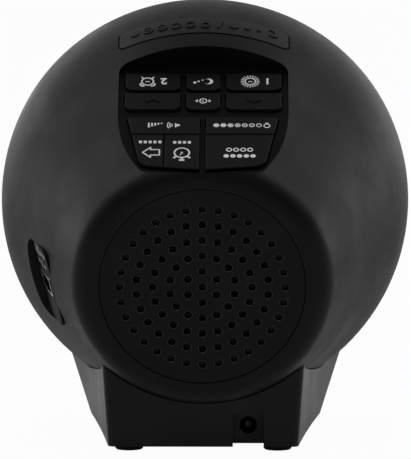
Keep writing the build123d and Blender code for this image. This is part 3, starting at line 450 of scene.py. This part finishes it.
def keep(name, mesh, material, body, smooth=False):
    """Make a finished piece of a mesh, give it its material, and let it ride on a body."""
    piece = new_piece(name, mesh)
    for face in piece.data.polygons:
        face.use_smooth = smooth
    finish(piece, bpy.data.materials[material])
    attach(piece, body)
    return piece


def finish_nodes(material, *names):
    """Give CAD nodes a material."""
    for name in names:
        finish(frame["nodes"][name], material)


def dress(maker, *rows):
    """Give the nodes that each row starts with a finish made from the rest of the row."""
    for nodes, *values in rows:
        finish_nodes(maker(*values), *nodes)


def nodes_ending(ending):
    """Names of the CAD nodes with this ending."""
    return [name for name in frame["nodes"] if name.endswith(ending)]


def bar(mesh, start, end, width):
    """Straight stroke between two points."""
    start, end = Vector((*start, 0.0)), Vector((*end, 0.0))
    run = end - start
    size = Matrix.Diagonal((run.length / 2, width / 2, 1.0, 1.0))
    place = Matrix.Translation((start + end) / 2) @ Matrix.Rotation(math.atan2(run.y, run.x), 4, "Z") @ size
    bmesh.ops.create_grid(mesh, x_segments=1, y_segments=1, size=1.0, matrix=place)


def disc(mesh, middle, radius, segments=20):
    """Filled round dot."""
    place = Matrix.Translation((*middle, 0.0))
    bmesh.ops.create_circle(mesh, cap_ends=True, segments=segments, radius=radius, matrix=place)


def sweep(mesh, geom, centre, turn, steps, merge=False, axis=(0.0, 0.0, 1.0)):
    """Turn points and edges about a line through a centre, and return what this makes."""
    return bmesh.ops.spin(mesh, geom=geom, cent=centre, axis=axis, angle=turn, steps=steps, use_merge=merge)


def arc(mesh, middle, radius, width, start=0.0, end=360.0, steps=28):
    """Curved stroke about a point, between two angles in degrees."""
    turn = Matrix.Rotation(math.radians(start), 3, "Z")
    centre = Vector((*middle, 0.0))
    sides = (radius - width / 2, radius + width / 2)
    ends = [mesh.verts.new(centre + turn @ Vector((reach, 0.0, 0.0))) for reach in sides]
    closed = end - start == 360.0
    sweep(mesh, [*ends, mesh.edges.new(ends)], centre, math.radians(end - start), steps, closed)


def shape(mesh, points):
    """Filled shape with straight sides."""
    mesh.faces.new([mesh.verts.new((*point, 0.0)) for point in points])


def outline(mesh, points, width):
    """Closed line along straight sides, with round corners."""
    for start, end in zip(points, [*points[1:], points[0]]):
        bar(mesh, start, end, width)
        disc(mesh, start, width / 2, 12)


def box_corners(x, y):
    """Corners of an upright rectangle about the middle, from half its width and height."""
    return [(-x, -y), (x, -y), (x, y), (-x, y)]


def moon(mesh, middle, radius):
    """Crescent: an outer and an inner arc, each with its share of the radius, with faces between them."""
    for reach, shift, half in ((radius, 0.0, 125.0), (radius * 0.86, radius * 0.52, 107.9)):
        centre = Vector((middle[0] + shift, middle[1], 0.0))
        turn = Matrix.Rotation(math.radians(180 - half), 3, "Z")
        first = mesh.verts.new(centre + turn @ Vector((reach, 0.0, 0.0)))
        sweep(mesh, [first], centre, math.radians(2 * half), 18)
    bmesh.ops.bridge_loops(mesh, edges=[edge for edge in mesh.edges if edge.is_wire])


def figure(mesh, letter, middle, height):
    """Plain digit from the built-in typeface, made a mesh before it is put in place."""
    curve = bpy.data.curves.new("digit", "FONT")
    curve.body = letter
    curve.align_x = "CENTER"
    curve.size = height / 0.72  # a digit is this share of its type size high
    curve.offset = 0.03 * curve.size  # makes its strokes bolder
    holder = bpy.data.objects.new("digit", curve)
    flat = bpy.data.meshes.new_from_object(holder)
    flat.transform(Matrix.Translation((middle[0], middle[1] - height / 2, 0.0)))
    mesh.from_mesh(flat)
    bpy.data.objects.remove(holder)
    bpy.data.curves.remove(curve)
    bpy.data.meshes.remove(flat)


def thicken(mesh, height):
    """Raise flat marks to solid ones of a height."""
    bmesh.ops.recalc_face_normals(mesh, faces=mesh.faces)
    for face in mesh.faces:
        if face.normal.z < 0:
            face.normal_flip()
    raised = bmesh.ops.extrude_face_region(mesh, geom=list(mesh.faces), use_keep_orig=True)
    tops = [item for item in raised["geom"] if isinstance(item, bmesh.types.BMVert)]
    bmesh.ops.translate(mesh, verts=tops, vec=(0.0, 0.0, height))
    bmesh.ops.recalc_face_normals(mesh, faces=mesh.faces)


def joint_frame(child):
    """Axes set by the joint that moves a body: to the reader's right, up, and out against the joint's way."""
    travel = next(joint for joint in frame["joints"] if joint["child"] == child)
    out = -Vector(travel["axis"]).normalized()
    right = Vector((1.0, 0.0, 0.0))
    return right, out.cross(right), out


def standing(axes, spot):
    """Matrix that carries a flat drawing to a spot and turns it to three axes."""
    return Matrix.Translation(spot) @ Matrix(axes).transposed().to_4x4()


def node_reach(name, axis):
    """Lowest and highest place of a CAD node along an axis."""
    reach = [vertex.co.dot(axis) for vertex in frame["nodes"][name].data.vertices]
    return min(reach), max(reach)


def node_face(name, axes):
    """Middle of a CAD node's outer face, as seen against the last of three axes."""
    right, up, out = axes
    across, along = sum(node_reach(name, right)) / 2, sum(node_reach(name, up)) / 2
    return right * across + up * along + out * node_reach(name, out)[1]


def solid_mark(draw, height, sink, place=Matrix()):
    """Draw a mark in millimetres and return it in place, as a solid in metres that starts below its plane."""
    mesh = bmesh.new()
    draw(mesh)
    bmesh.ops.scale(mesh, vec=(MM, MM, MM), verts=mesh.verts)
    bmesh.ops.translate(mesh, vec=(0.0, 0.0, -sink), verts=mesh.verts)
    thicken(mesh, sink + height)
    mesh.transform(place)
    return mesh


def join_marks(target, part):
    """Move one mesh into another and free it."""
    data = mesh_data("part", part)
    target.from_mesh(data)
    bpy.data.meshes.remove(data)


# Drawings of the marks, in millimetres


def drawing(*strokes):
    """Drawing made of strokes, each given as what draws it and the values that this takes."""

    def draw(mesh):
        for maker, *values in strokes:
            maker(mesh, *values)

    return draw


def draw_alarm_clock(mesh, middle):
    """Round clock with two bells and two feet."""
    x, y = middle
    arc(mesh, middle, 1.95, 0.5)
    for side in (-1, 1):
        arc(mesh, (x + side * 1.5, y + 1.5), 0.9, 0.62, 45 - side * 45 - 30, 45 - side * 45 + 120, 8)
        bar(mesh, (x + side * 1.35, y - 1.5), (x + side * 2.1, y - 2.5), 0.5)
        bar(mesh, (x, y - 0.15), (x + side * 0.75, y + 0.35), 0.34)


def draw_alarm_one(mesh):
    """Sun with a clock's hands in it, and a digit."""
    figure(mesh, "1", (-4.5, 0.0), 3.2)
    middle = Vector((1.25, 0.0))
    arc(mesh, middle, 1.75, 0.45)
    rays = 20
    for step in range(rays):
        turn = math.tau * step / rays
        away = Vector((math.cos(turn), math.sin(turn)))
        bar(mesh, middle + away * 2.2, middle + away * 3.2, 0.38)
    for side in (-1, 1):
        bar(mesh, middle + Vector((0.0, -0.1)), middle + Vector((side * 0.7, 0.35)), 0.32)


def draw_nap(mesh):
    """Moon and three dots that grow."""
    moon(mesh, (-1.7, 0.0), 1.5)
    for step, size in enumerate((0.3, 0.42, 0.55)):
        disc(mesh, (0.3 + step * 1.3, -0.7 + step * 0.65), size)


def draw_set(mesh):
    """Clock hands in a ring between two pointers."""
    arc(mesh, (0.0, 0.0), 1.15, 0.4)
    bar(mesh, (0.0, 0.0), (0.0, 0.75), 0.3)
    bar(mesh, (0.0, 0.0), (0.55, 0.0), 0.3)
    for side in (-1, 1):
        shape(mesh, [(side * 2.7, 0.0), (side * 1.8, side * 0.8), (side * 1.8, -side * 0.8)])


def draw_sound(mesh):
    """Loudspeaker and waves, with bars of rising height."""
    shape(mesh, [(-5.3, -0.5), (-4.6, -0.5), (-3.7, -1.2), (-3.7, 1.2), (-4.6, 0.5), (-5.3, 0.5)])
    for radius in (1.0, 1.75, 2.5):
        arc(mesh, (-3.7, 0.0), radius, 0.36, -38, 38, 10)
    for step, high in enumerate((0.5, 0.9, 1.4, 1.9, 2.4)):
        bar(mesh, (0.7 + step * 1.05, -1.2), (0.7 + step * 1.05, -1.2 + high), 0.58)


def draw_light(mesh):
    """Lamp, then rings that fill up step by step."""
    arc(mesh, (-8.2, 0.25), 0.95, 0.4)
    bar(mesh, (-8.75, -1.1), (-7.65, -1.1), 0.4)
    for step in range(7):
        x = -5.6 + step * 2.35
        arc(mesh, (x, 0.0), 0.8, 0.34, steps=20)
        if step:
            disc(mesh, (x, 0.0), 0.1 + step * 0.1, 16)


def draw_small_bars(mesh, count, aside, height):
    """Row of small bars across the key, as a dial's steps."""
    for step in range(count):
        middle = aside + (step - (count - 1) / 2) * 1.6
        bar(mesh, (middle - 0.5, height), (middle + 0.5, height), 1.3)


def draw_timer(mesh):
    """Stopwatch with a crown and two side buttons over a row of small bars."""
    arc(mesh, (0.0, 0.5), 2.45, 0.55, steps=36)
    bar(mesh, (0.0, 3.1), (0.0, 4.0), 0.9)
    bar(mesh, (-0.9, 4.3), (0.9, 4.3), 0.8)
    for side in (-1, 1):
        bar(mesh, (side * 1.9, 2.45), (side * 2.7, 3.25), 0.75)
    bar(mesh, (0.0, 0.5), (0.5, 1.7), 0.36)
    disc(mesh, (0.0, 0.5), 0.42)
    draw_small_bars(mesh, 4, 0.0, -4.9)


def draw_colour(mesh):
    """Row of five dots over a row of four rings."""
    for step in range(4):
        arc(mesh, (-3.45 + step * 2.3, -1.08), 0.8, 0.45, steps=20)
    for step in range(5):
        disc(mesh, (-4.4 + step * 2.2, 2.15), 0.9)


def draw_chevron(mesh, way):
    """Shallow chevron that points up, or down for a way of -1."""
    for side in (-1, 1):
        bar(mesh, (side * 2.4, -way * 0.7), (-side * 0.18, way * 0.75), 0.7)


def draw_charging(mesh):
    """Battery and a row of dots over a flash, as beside a charging socket."""
    outline(mesh, [(-7.2, 0.9), (-7.2, 3.9), (-1.4, 3.9), (-1.4, 0.9)], 0.45)
    bar(mesh, (-1.0, 1.7), (-1.0, 3.1), 0.6)
    for step in range(3):
        bar(mesh, (-6.2 + step * 1.5, 1.6), (-6.2 + step * 1.5, 3.2), 0.85)
        disc(mesh, (1.2 + step * 2.3, 2.4), 0.85)
    shape(mesh, [(-2.2, -3.9), (0.3, -1.9), (-0.7, -1.7), (0.9, 0.2), (-1.9, -1.7), (-0.9, -1.9)])
    for side in (-1, 1):
        bar(mesh, (-0.6 + side * 3.0, -1.8), (-0.6 + side * 6.0, -1.8), 0.9)


# Segments of a digit: each joins two of its six corners, counted from the top left, row by row
segment_corners = {"a": (0, 1), "b": (1, 3), "c": (3, 5), "d": (4, 5), "e": (2, 4), "f": (0, 2), "g": (2, 3)}
# Lit segments of each digit from 0 to 9
lit_segments = "abcdef bc abged abgcd fgbc afgcd afgedc abc abcdefg abfgcd".split()
segment_gap = 0.62  # how far a segment stops short of a corner, in its own widths
digit_places = (-1.75, -0.75, 0.75, 1.75)  # from the middle, in steps
dot_place = 0.2  # from the middle, in digit heights


def draw_time(mesh, sizes):
    """Four seven-segment digits with two dots between them."""
    high, wide, thick, step = (
        size / MM for size in (sizes.digit_high, sizes.digit_wide, sizes.segment, sizes.digit_step)
    )
    half_high, half_wide = (high - thick) / 2, (wide - thick) / 2
    for place, digit in zip(digit_places, sizes.shown):
        corners = [Vector((place * step + x * half_wide, y * half_high)) for y in (1, 0, -1) for x in (-1, 1)]
        for segment in lit_segments[int(digit)]:
            start, end = (corners[index] for index in segment_corners[segment])
            back = (end - start).normalized() * thick * segment_gap
            draw_segment(mesh, start + back, end - back, thick)
    for side in (-1, 1):
        bar(mesh, (-thick / 2, side * high * dot_place), (thick / 2, side * high * dot_place), thick)


def draw_segment(mesh, start, end, width):
    """Bar with pointed ends."""
    along = (end - start).normalized() * width / 2
    aside = Vector((-along.y, along.x))
    shape(mesh, [start - along, start - aside, end - aside, end + along, end + aside, start + aside])


origin = (0.0, 0.0)
arrow = [(1.5, 0.9), (-1.1, -1.7), (-1.1, -0.55), (-4.0, -0.55), (-4.0, 2.3), (-1.1, 2.3), (-1.1, 3.5)]
key_prints = {
    "alarm_two": drawing((figure, "2", (-3.6, 0.0), 3.2), (draw_alarm_clock, (1.8, 0.1))),
    "nap": draw_nap,
    "alarm_one": draw_alarm_one,
    "set": draw_set,
    "sound": draw_sound,
    "select": drawing((outline, arrow, 0.52), (draw_small_bars, 5, -0.9, -4.5)),
    "timer": draw_timer,
    "light": draw_light,
    "colour": draw_colour,
}
key_reliefs = {"down": drawing((draw_chevron, -1)), "up": drawing((draw_chevron, 1))}
draw_lip = drawing((outline, box_corners(6.7, 3.0), 0.8))
draw_sleeve = drawing((outline, box_corners(6.35, 2.65), 0.3))
ring = (arc, origin, 1.25, 0.55)
bulb = (arc, (0.0, 0.45), 1.15, 0.5)
# Marks along the snooze bar: each one's place in millimetres to the reader's right, and its strokes
bar_marks = (
    (-23.8, [(moon, origin, 1.6)]),
    (-18.8, [(disc, origin, 0.6)]),
    (-14.8, [(disc, origin, 0.95)]),
    (-10.2, [(disc, origin, 1.3, 28)]),
    (-5.6, [(bar, (-0.7, -1.7), (0.7, 1.7), 0.6)]),
    (-0.6, [bulb, (bar, (-0.6, -1.15), (0.6, -1.15), 0.5), (bar, (-0.4, -1.75), (0.4, -1.75), 0.4)]),
    (4.6, [ring]),
    (9.4, [ring]),
    (14.2, [ring, (disc, origin, 0.55)]),
    (19.0, [ring, (disc, origin, 0.55)]),
    (23.8, [(disc, origin, 1.3, 28)]),
)
marks_larger = 1.25  # the bar's marks are this much larger than they are drawn


# Operators: one for each piece or group of like pieces, and one for the stage


class CLOCK_OT_shells(bpy.types.Operator):
    """Give the shells, the foot, the panel, the keys and the grille their plastics"""

    bl_idname = "clock.shells"
    bl_label = "Finish the shells and keys"

    def execute(self, context):
        colours = context.scene.clock_colours
        shells, panels, keys = ("rear_housing", "front_bezel"), nodes_ending("_panel"), nodes_ending("_key")
        dress(
            moulded_finish,
            (shells, "soft_touch_black", colours.shell, 0.44, 0.52, 2600.0, 0.00002, 0.175, 1.07, 0.005),
            (["base_shell"], "foot_black", colours.foot, 0.32, 0.38, 3100.0, 0.000012, 0.26, 1.1, 0.005),
            (["snooze_bar"], "snooze_black", colours.shell, 0.40, 0.46, 2600.0, 0.00002, 0.25, 1.07, 0.008),
            (panels, "panel_black", colours.panel, 0.50, 0.60, 3000.0, 0.00002, 0.07, 1.2, 0.005),
            (keys, "key_black", colours.key, 0.46, 0.56, 3400.0, 0.00001, 0.12, 1.2, 0.008),
            (["speaker_grille"], "grille_black", colours.grille, 0.42, 0.52, 3000.0, 0.00002, 0.17, 1.2),
        )
        return {"FINISHED"}


class CLOCK_OT_inner(bpy.types.Operator):
    """Give the plain plastics, silicone, rubber, cloth and paper their finishes"""

    bl_idname = "clock.inner"
    bl_label = "Finish the inner parts"

    def execute(self, context):
        black = ("base_plate", "battery_door", "display_digits", "board_parts", "speaker_gasket")
        white = ("light_reflector", "battery_holder", "display_bracket", "usb_tongue")
        soft = ("keypad_mat", "snooze_pad", "speaker_surround")
        dress(
            moulded_finish,
            (black, "satin_black", [0.012] * 3, 0.38, 0.46, 2400.0, 0.00002, 0.3),
            (["dc_jack"], "jack_black", [0.0025] * 3, 0.55, 0.65, 2400.0, 0.00002, 0.05),
            (white, "matt_white", (0.74, 0.74, 0.72), 0.45, 0.6, 2400.0, 0.00002, 0.4, 1.06),
            (soft, "grey_silicone", (0.045, 0.045, 0.047), 0.5, 0.7, 1500.0, 0.00003, 0.35, 1.3),
            (["rubber_feet"], "foot_rubber", [0.022] * 3, 0.7, 0.85, 1300.0, 0.00005, 0.25, 1.4, 0.05),
        )
        finish_nodes(woven_finish("open_cloth", [0.010] * 3), "grille_cloth")
        finish_nodes(paper_finish("pressed_paper", [0.030] * 3), "speaker_cone")
        finish_nodes(smoked_finish("smoked_dome"), "front_lens")
        finish_nodes(lamp_finish("lamp_white"), "mood_lights")
        return {"FINISHED"}


class CLOCK_OT_metals(bpy.types.Operator):
    """Give the boards, sheet metal, magnet, contacts and screws their finishes"""

    bl_idname = "clock.metals"
    bl_label = "Finish the boards and metals"

    def execute(self, context):
        finish_nodes(board_finish("green_board", (0.012, 0.075, 0.032)), *nodes_ending("_board"))
        ferrite = moulded_finish("ferrite", (0.05, 0.05, 0.052), 0.45, 0.6, 900.0, 0.00005, 0.5, 1.6)
        finish_nodes(ferrite, "speaker_magnet")
        contacts = ("usb_socket", "cell_contact", "coin_cell")
        dress(
            metal_finish,
            (["speaker_basket", "speaker_yoke"], "zinc_sheet", (0.60, 0.61, 0.62), 0.32, 420.0),
            (contacts, "nickel", (0.78, 0.76, 0.72), 0.16, 700.0, (1.0, 1.0, 9.0), 0.88),
            (["jack_pin"], "dark_pin", (0.030, 0.030, 0.031), 0.4, 700.0),
            (nodes_ending("_screws"), "dark_screws", (0.10, 0.10, 0.105), 0.35, 1500.0),
        )
        return {"FINISHED"}


def mark_keys(marks, ending, height, sink, material):
    """Put each drawing on its key, as a solid mark that rides on the key."""
    for name, draw in marks.items():
        key = f"{name}_key"
        axes = joint_frame(key)
        mesh = solid_mark(draw, height, sink, standing(axes, node_face(key, axes)))
        keep(f"{name}_{ending}", mesh, material, key)


class CLOCK_OT_prints(bpy.types.Operator):
    """Print the white marks on the keys"""

    bl_idname = "clock.prints"
    bl_label = "Print the keys"

    def execute(self, context):
        sizes = context.scene.clock_sizes
        ink_finish("white_ink", context.scene.clock_colours.ink)
        mark_keys(key_prints, "print", sizes.ink_thick, sizes.ink_sink, "white_ink")
        return {"FINISHED"}


class CLOCK_OT_key_reliefs(bpy.types.Operator):
    """Raise the two chevrons on the keys that carry no print"""

    bl_idname = "clock.key_reliefs"
    bl_label = "Raise the chevrons"

    def execute(self, context):
        sizes = context.scene.clock_sizes
        mark_keys(key_reliefs, "mark", sizes.relief, sizes.relief_sink, "key_black")
        return {"FINISHED"}


class CLOCK_OT_bar_reliefs(bpy.types.Operator):
    """Raise the marks that run along the snooze bar, each on its own tangent to the ball"""

    bl_idname = "clock.bar_reliefs"
    bl_label = "Raise the bar's marks"

    def execute(self, context):
        sizes = context.scene.clock_sizes
        axes = joint_frame("snooze_bar")
        top = max((vertex.co - ball_middle).length for vertex in frame["nodes"]["snooze_bar"].data.vertices)
        whole = bmesh.new()
        for along, strokes in bar_marks:
            mark = solid_mark(drawing(*strokes), sizes.relief, sizes.relief_sink)
            bmesh.ops.scale(mark, vec=(marks_larger, marks_larger, 1.0), verts=mark.verts)
            turn = Matrix.Rotation(along * MM / top, 4, axes[1])
            mark.transform(Matrix.Translation(ball_middle) @ turn @ standing(axes, axes[2] * top))
            join_marks(whole, mark)
        keep("snooze_marks", whole, "snooze_black", "snooze_bar")
        return {"FINISHED"}


class CLOCK_OT_socket_cover(bpy.types.Operator):
    """Lay the tapered cover in the pocket, print its charging marks and line the socket's mouth with metal"""

    bl_idname = "clock.socket_cover"
    bl_label = "Cover the pocket's floor"

    def execute(self, context):
        sizes = context.scene.clock_sizes
        mount = next(item for item in frame["record"]["mounts"] if item["name"] == "charging_socket")
        out = Vector(mount["axis"]).normalized()
        barrel = -joint_frame("speaker_cone")[2]
        across = (barrel - out * barrel.dot(out)).normalized()
        spot = Vector(mount["pos_m"])
        spot += out * (node_reach("socket_panel", out)[1] - spot.dot(out))
        place = standing((across, out.cross(across), out), spot)
        half, fall = sizes.cover_wide / 2, math.tan(sizes.cover_tilt)
        rise = Matrix.Translation((0.0, 0.0, sizes.cover_thin + half * fall))
        top = rise @ Matrix.Rotation(sizes.cover_tilt, 4, "Y")
        cover = self.tapered_cover(sizes, half, fall)
        cover.transform(place)
        keep("socket_cover", cover, "panel_black", "clock")
        ink_finish("pale_ink", context.scene.clock_colours.pale_ink)
        above = place @ top @ Matrix.Translation((0.0, marks_above, 0.0))
        mesh = solid_mark(draw_charging, sizes.ink_thick, sizes.ink_sink, above)
        keep("charging_print", mesh, "pale_ink", "clock")
        lip = solid_mark(draw_lip, sizes.lip_thick, sizes.ink_sink, top)
        join_marks(lip, solid_mark(draw_sleeve, sizes.cover_thin + half * fall / 2, 0.0))
        lip.transform(place)
        keep("socket_lip", lip, "nickel", "clock")
        return {"FINISHED"}

    def tapered_cover(self, sizes, half, fall):
        """Plate with round corners and an opening, thinnest on the barrel's side."""
        mesh = bmesh.new()
        shape(mesh, box_corners(half, sizes.cover_high / 2))
        bmesh.ops.bevel(
            mesh,
            geom=list(mesh.verts),
            offset=sizes.cover_corner,
            offset_type="OFFSET",
            affect="VERTICES",
            segments=6,
            profile=0.5,
            material=-1,
        )
        for normal, reach in zip((Vector((1, 0, 0)), Vector((0, 1, 0))), opening_half):
            for side in (-1, 1):
                everything = [*mesh.verts, *mesh.edges, *mesh.faces]
                bmesh.ops.bisect_plane(mesh, geom=everything, plane_co=normal * reach * side, plane_no=normal)
        middle = min(mesh.faces, key=lambda face: face.calc_center_median().length)
        bmesh.ops.delete(mesh, geom=[middle], context="FACES_ONLY")
        thicken(mesh, sizes.cover_thin)
        slope = Matrix.Identity(4)
        slope[2][0] = -fall
        slope[2][3] = half * fall
        raised = [point for point in mesh.verts if point.co.z > sizes.cover_thin / 2]
        bmesh.ops.transform(mesh, matrix=slope, verts=raised)
        return mesh


class CLOCK_OT_grille_rims(bpy.types.Operator):
    """Round the edge of every hole in the grille"""

    bl_idname = "clock.grille_rims"
    bl_label = "Round the grille's holes"

    def execute(self, context):
        right, up, out = joint_frame("speaker_cone")
        axes = (-right, up, -out)
        face = node_reach("speaker_grille", axes[2])[1]
        middle = ball_middle + axes[2] * (face - ball_middle.dot(axes[2]))
        rim = self.rolled_rim(context.scene.clock_sizes.rim_round)
        spots = [Vector((0.0, 0.0, 0.0))]
        for circle, count in enumerate(hole_counts, start=1):
            for step in range(count):
                turn = Matrix.Rotation(math.pi / 2 + math.tau * step / count, 3, "Z")
                spots.append(turn @ Vector((circle * hole_step, 0.0, 0.0)))
        whole = bmesh.new()
        for spot in spots:
            copy = rim.copy()
            bmesh.ops.translate(copy, verts=copy.verts, vec=spot)
            join_marks(whole, copy)
        rim.free()
        whole.transform(standing(axes, middle))
        colour = context.scene.clock_colours.grille
        moulded_finish("rim_black", colour, 0.22, 0.30, 3000.0, 0.000005, 0.8, 1.2)
        keep("grille_rims", whole, "rim_black", "clock", smooth=True)
        return {"FINISHED"}

    def rolled_rim(self, rounding):
        """Ring against a hole's wall, whose edge rolls from the grille's face into the hole."""
        mesh = bmesh.new()
        corner = mesh.verts.new((hole_radius, 0.0, 0.0))
        rolled = sweep(mesh, [corner], (hole_radius, 0.0, -rounding), -math.pi / 2, 3, axis=(0.0, 1.0, 0.0))
        foot = rolled["geom_last"][0]
        bottom = -3 * rounding
        below = mesh.verts.new((foot.co.x, 0.0, bottom))
        behind = mesh.verts.new((hole_radius, 0.0, bottom))
        for pair in ((foot, below), (below, behind), (behind, corner)):
            mesh.edges.new(pair)
        sweep(mesh, [*mesh.verts, *mesh.edges], (0.0, 0.0, 0.0), math.tau, 20, merge=True)
        bmesh.ops.recalc_face_normals(mesh, faces=mesh.faces)
        return mesh


class CLOCK_OT_soft_pad(bpy.types.Operator):
    """Put a copy of the pad, with its own mesh, under the snooze bar in place of the pad from the solids"""

    bl_idname = "clock.soft_pad"
    bl_label = "Soften the snooze pad"

    def execute(self, context):
        data = frame["nodes"]["snooze_pad"].data.copy()
        pad = keep("soft_snooze_pad", data, "grey_silicone", "clock")
        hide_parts("snooze_pad")
        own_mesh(pad)
        return {"FINISHED"}


class CLOCK_OT_digits(bpy.types.Operator):
    """Light the time on the display behind the smoked dome"""

    bl_idname = "clock.digits"
    bl_label = "Light the digits"

    def execute(self, context):
        sizes, colours = context.scene.clock_sizes, context.scene.clock_colours
        glow_finish("digit_glow", colours.glow, colours.glow_strength)
        axes = joint_frame("speaker_cone")
        place = standing(axes, node_face("display_digits", axes))
        mesh = solid_mark(drawing((draw_time, sizes)), sizes.relief, sizes.relief_sink, place)
        keep("lit_digits", mesh, "digit_glow", "clock")
        return {"FINISHED"}


class CLOCK_OT_stage(bpy.types.Operator):
    """Lay the floor, hang the lights and set up the camera"""

    bl_idname = "clock.stage"
    bl_label = "Set the stage"

    def execute(self, context):
        studio = context.scene.clock_studio
        self.lay_floor(studio, context.scene.clock_colours.floor)
        self.paint_sky(context.scene, studio)
        for name, spot, size, power in (
            ("top_softbox", (0.0, -0.3, 2.2), 2.4, studio.top_power),
            ("left_softbox", (1.5, -0.25, 1.8), 1.2, studio.side_power),
            ("right_softbox", (-1.5, -0.25, 1.8), 1.2, studio.side_power),
            ("high_softbox", (0.3, 1.3, 2.0), 0.9, studio.rear_power),
        ):
            self.hang_light(name, Vector(spot), size, power)
        self.set_camera(context.scene, studio)
        return {"FINISHED"}

    def lay_floor(self, studio, colour):
        """Large pale floor that shows white to the camera and keeps the clock's shadow."""
        mesh = bmesh.new()
        bmesh.ops.create_grid(mesh, x_segments=1, y_segments=1, size=studio.floor_half)
        floor = new_piece("floor", mesh)
        material, tree, shader = start_material("pale_floor", Roughness=0.9, Specular_IOR_Level=0.0)
        link_colour(tree, shader, noise_node(tree, 3.0, 2.0), colour, shade(colour, 0.99))
        glow = tree.nodes.new("ShaderNodeEmission")
        glow.inputs["Strength"].default_value = 1.0
        mix = tree.nodes.new("ShaderNodeMixShader")
        path, straight = self.seen_straight(tree)
        glossy = math_node(tree, "MULTIPLY", path.outputs["Is Glossy Ray"], studio.floor_gloss)
        seen = math_node(tree, "MAXIMUM", straight, glossy)
        tree.links.new(math_node(tree, "MULTIPLY", seen, studio.floor_white), mix.inputs["Fac"])
        tree.links.new(shader.outputs["BSDF"], mix.inputs[1])
        tree.links.new(glow.outputs["Emission"], mix.inputs[2])
        tree.links.new(mix.outputs["Shader"], tree.nodes["Material Output"].inputs["Surface"])
        finish(floor, material)

    def seen_straight(self, tree):
        """Light Path node, and 1 for what the camera sees straight or through glass."""
        path = tree.nodes.new("ShaderNodeLightPath")
        rays = (path.outputs["Is Camera Ray"], path.outputs["Is Transmission Ray"])
        return path, math_node(tree, "MAXIMUM", *rays)

    def paint_sky(self, scene, studio):
        """White backdrop, with a sky that lights the ball from beyond and is dim behind the camera."""
        world = bpy.data.worlds.new("studio_sky")
        scene.world = world
        world.use_nodes = True
        tree = world.node_tree
        way = tree.nodes.new("ShaderNodeSeparateXYZ")
        tree.links.new(tree.nodes.new("ShaderNodeTexCoord").outputs["Generated"], way.inputs[0])
        beyond = span_node(tree, way.outputs["Y"], *sky_fade, studio.open_side, studio.shut_side)
        rising = span_node(tree, way.outputs["Z"], *sky_rise, *sky_levels)
        falling = math_node(tree, "MULTIPLY", beyond, rising)
        seen = self.seen_straight(tree)[1]
        hidden = math_node(tree, "MULTIPLY", falling, math_node(tree, "SUBTRACT", 1.0, seen))
        background = tree.nodes["Background"]
        background.inputs["Color"].default_value = (1.0, 1.0, 1.0, 1.0)
        tree.links.new(math_node(tree, "ADD", hidden, seen), background.inputs["Strength"])

    def hang_light(self, name, spot, size, power):
        """Square softbox that looks at the clock."""
        lamp = bpy.data.lights.new(name, "AREA")
        lamp.shape = "SQUARE"
        lamp.size = size
        lamp.energy = power
        holder = bpy.data.objects.new(name, lamp)
        bpy.context.scene.collection.objects.link(holder)
        holder.location = spot
        holder.rotation_euler = (ball_middle - spot).to_track_quat("-Z", "Y").to_euler()

    def set_camera(self, scene, studio):
        """Camera at the photograph's angle and distance."""
        level = math.cos(studio.elevation)
        away = Vector(
            (math.sin(studio.azimuth) * level, -math.cos(studio.azimuth) * level, math.sin(studio.elevation))
        )
        turn = (-away).to_track_quat("-Z", "Y")
        aim = ball_middle + turn @ Vector((studio.aim_side, -studio.aim_drop, 0.0))
        data = bpy.data.cameras.new("camera")
        data.sensor_width = 36.0
        data.lens = data.sensor_width * studio.distance / studio.view_height
        data.clip_end = 50.0
        camera = bpy.data.objects.new("camera", data)
        scene.collection.objects.link(camera)
        camera.location = aim + away * studio.distance
        camera.rotation_euler = turn.to_euler()
        scene.camera = camera
        scene.view_settings.view_transform = "Standard"


steps = (
    CLOCK_OT_shells,
    CLOCK_OT_inner,
    CLOCK_OT_metals,
    CLOCK_OT_prints,
    CLOCK_OT_key_reliefs,
    CLOCK_OT_bar_reliefs,
    CLOCK_OT_socket_cover,
    CLOCK_OT_grille_rims,
    CLOCK_OT_soft_pad,
    CLOCK_OT_digits,
    CLOCK_OT_stage,
)


class CLOCK_PT_sidebar(bpy.types.Panel):
    """Sidebar panel that lists the steps"""

    bl_idname = "CLOCK_PT_sidebar"
    bl_label = "Ball clock"
    bl_space_type = "VIEW_3D"
    bl_region_type = "UI"
    bl_category = "Ball clock"

    def draw(self, context):
        for step in steps:
            self.layout.operator(step.bl_idname)


classes = (ClockSizes, ClockColours, ClockStudio, *steps, CLOCK_PT_sidebar)


def register():
    """Register the classes and hang the settings on the scene."""
    for item in classes:
        bpy.utils.register_class(item)
    bpy.types.Scene.clock_sizes = PointerProperty(type=ClockSizes)
    bpy.types.Scene.clock_colours = PointerProperty(type=ClockColours)
    bpy.types.Scene.clock_studio = PointerProperty(type=ClockStudio)


def unregister():
    """Take the settings and classes away again."""
    del bpy.types.Scene.clock_studio
    del bpy.types.Scene.clock_colours
    del bpy.types.Scene.clock_sizes
    for item in reversed(classes):
        bpy.utils.unregister_class(item)


def main():
    """Register the classes, then dress the clock step by step."""
    register()
    for step in steps:
        area, name = step.bl_idname.split(".")
        getattr(getattr(bpy.ops, area), name)()


if __name__ == "__main__":
    main()
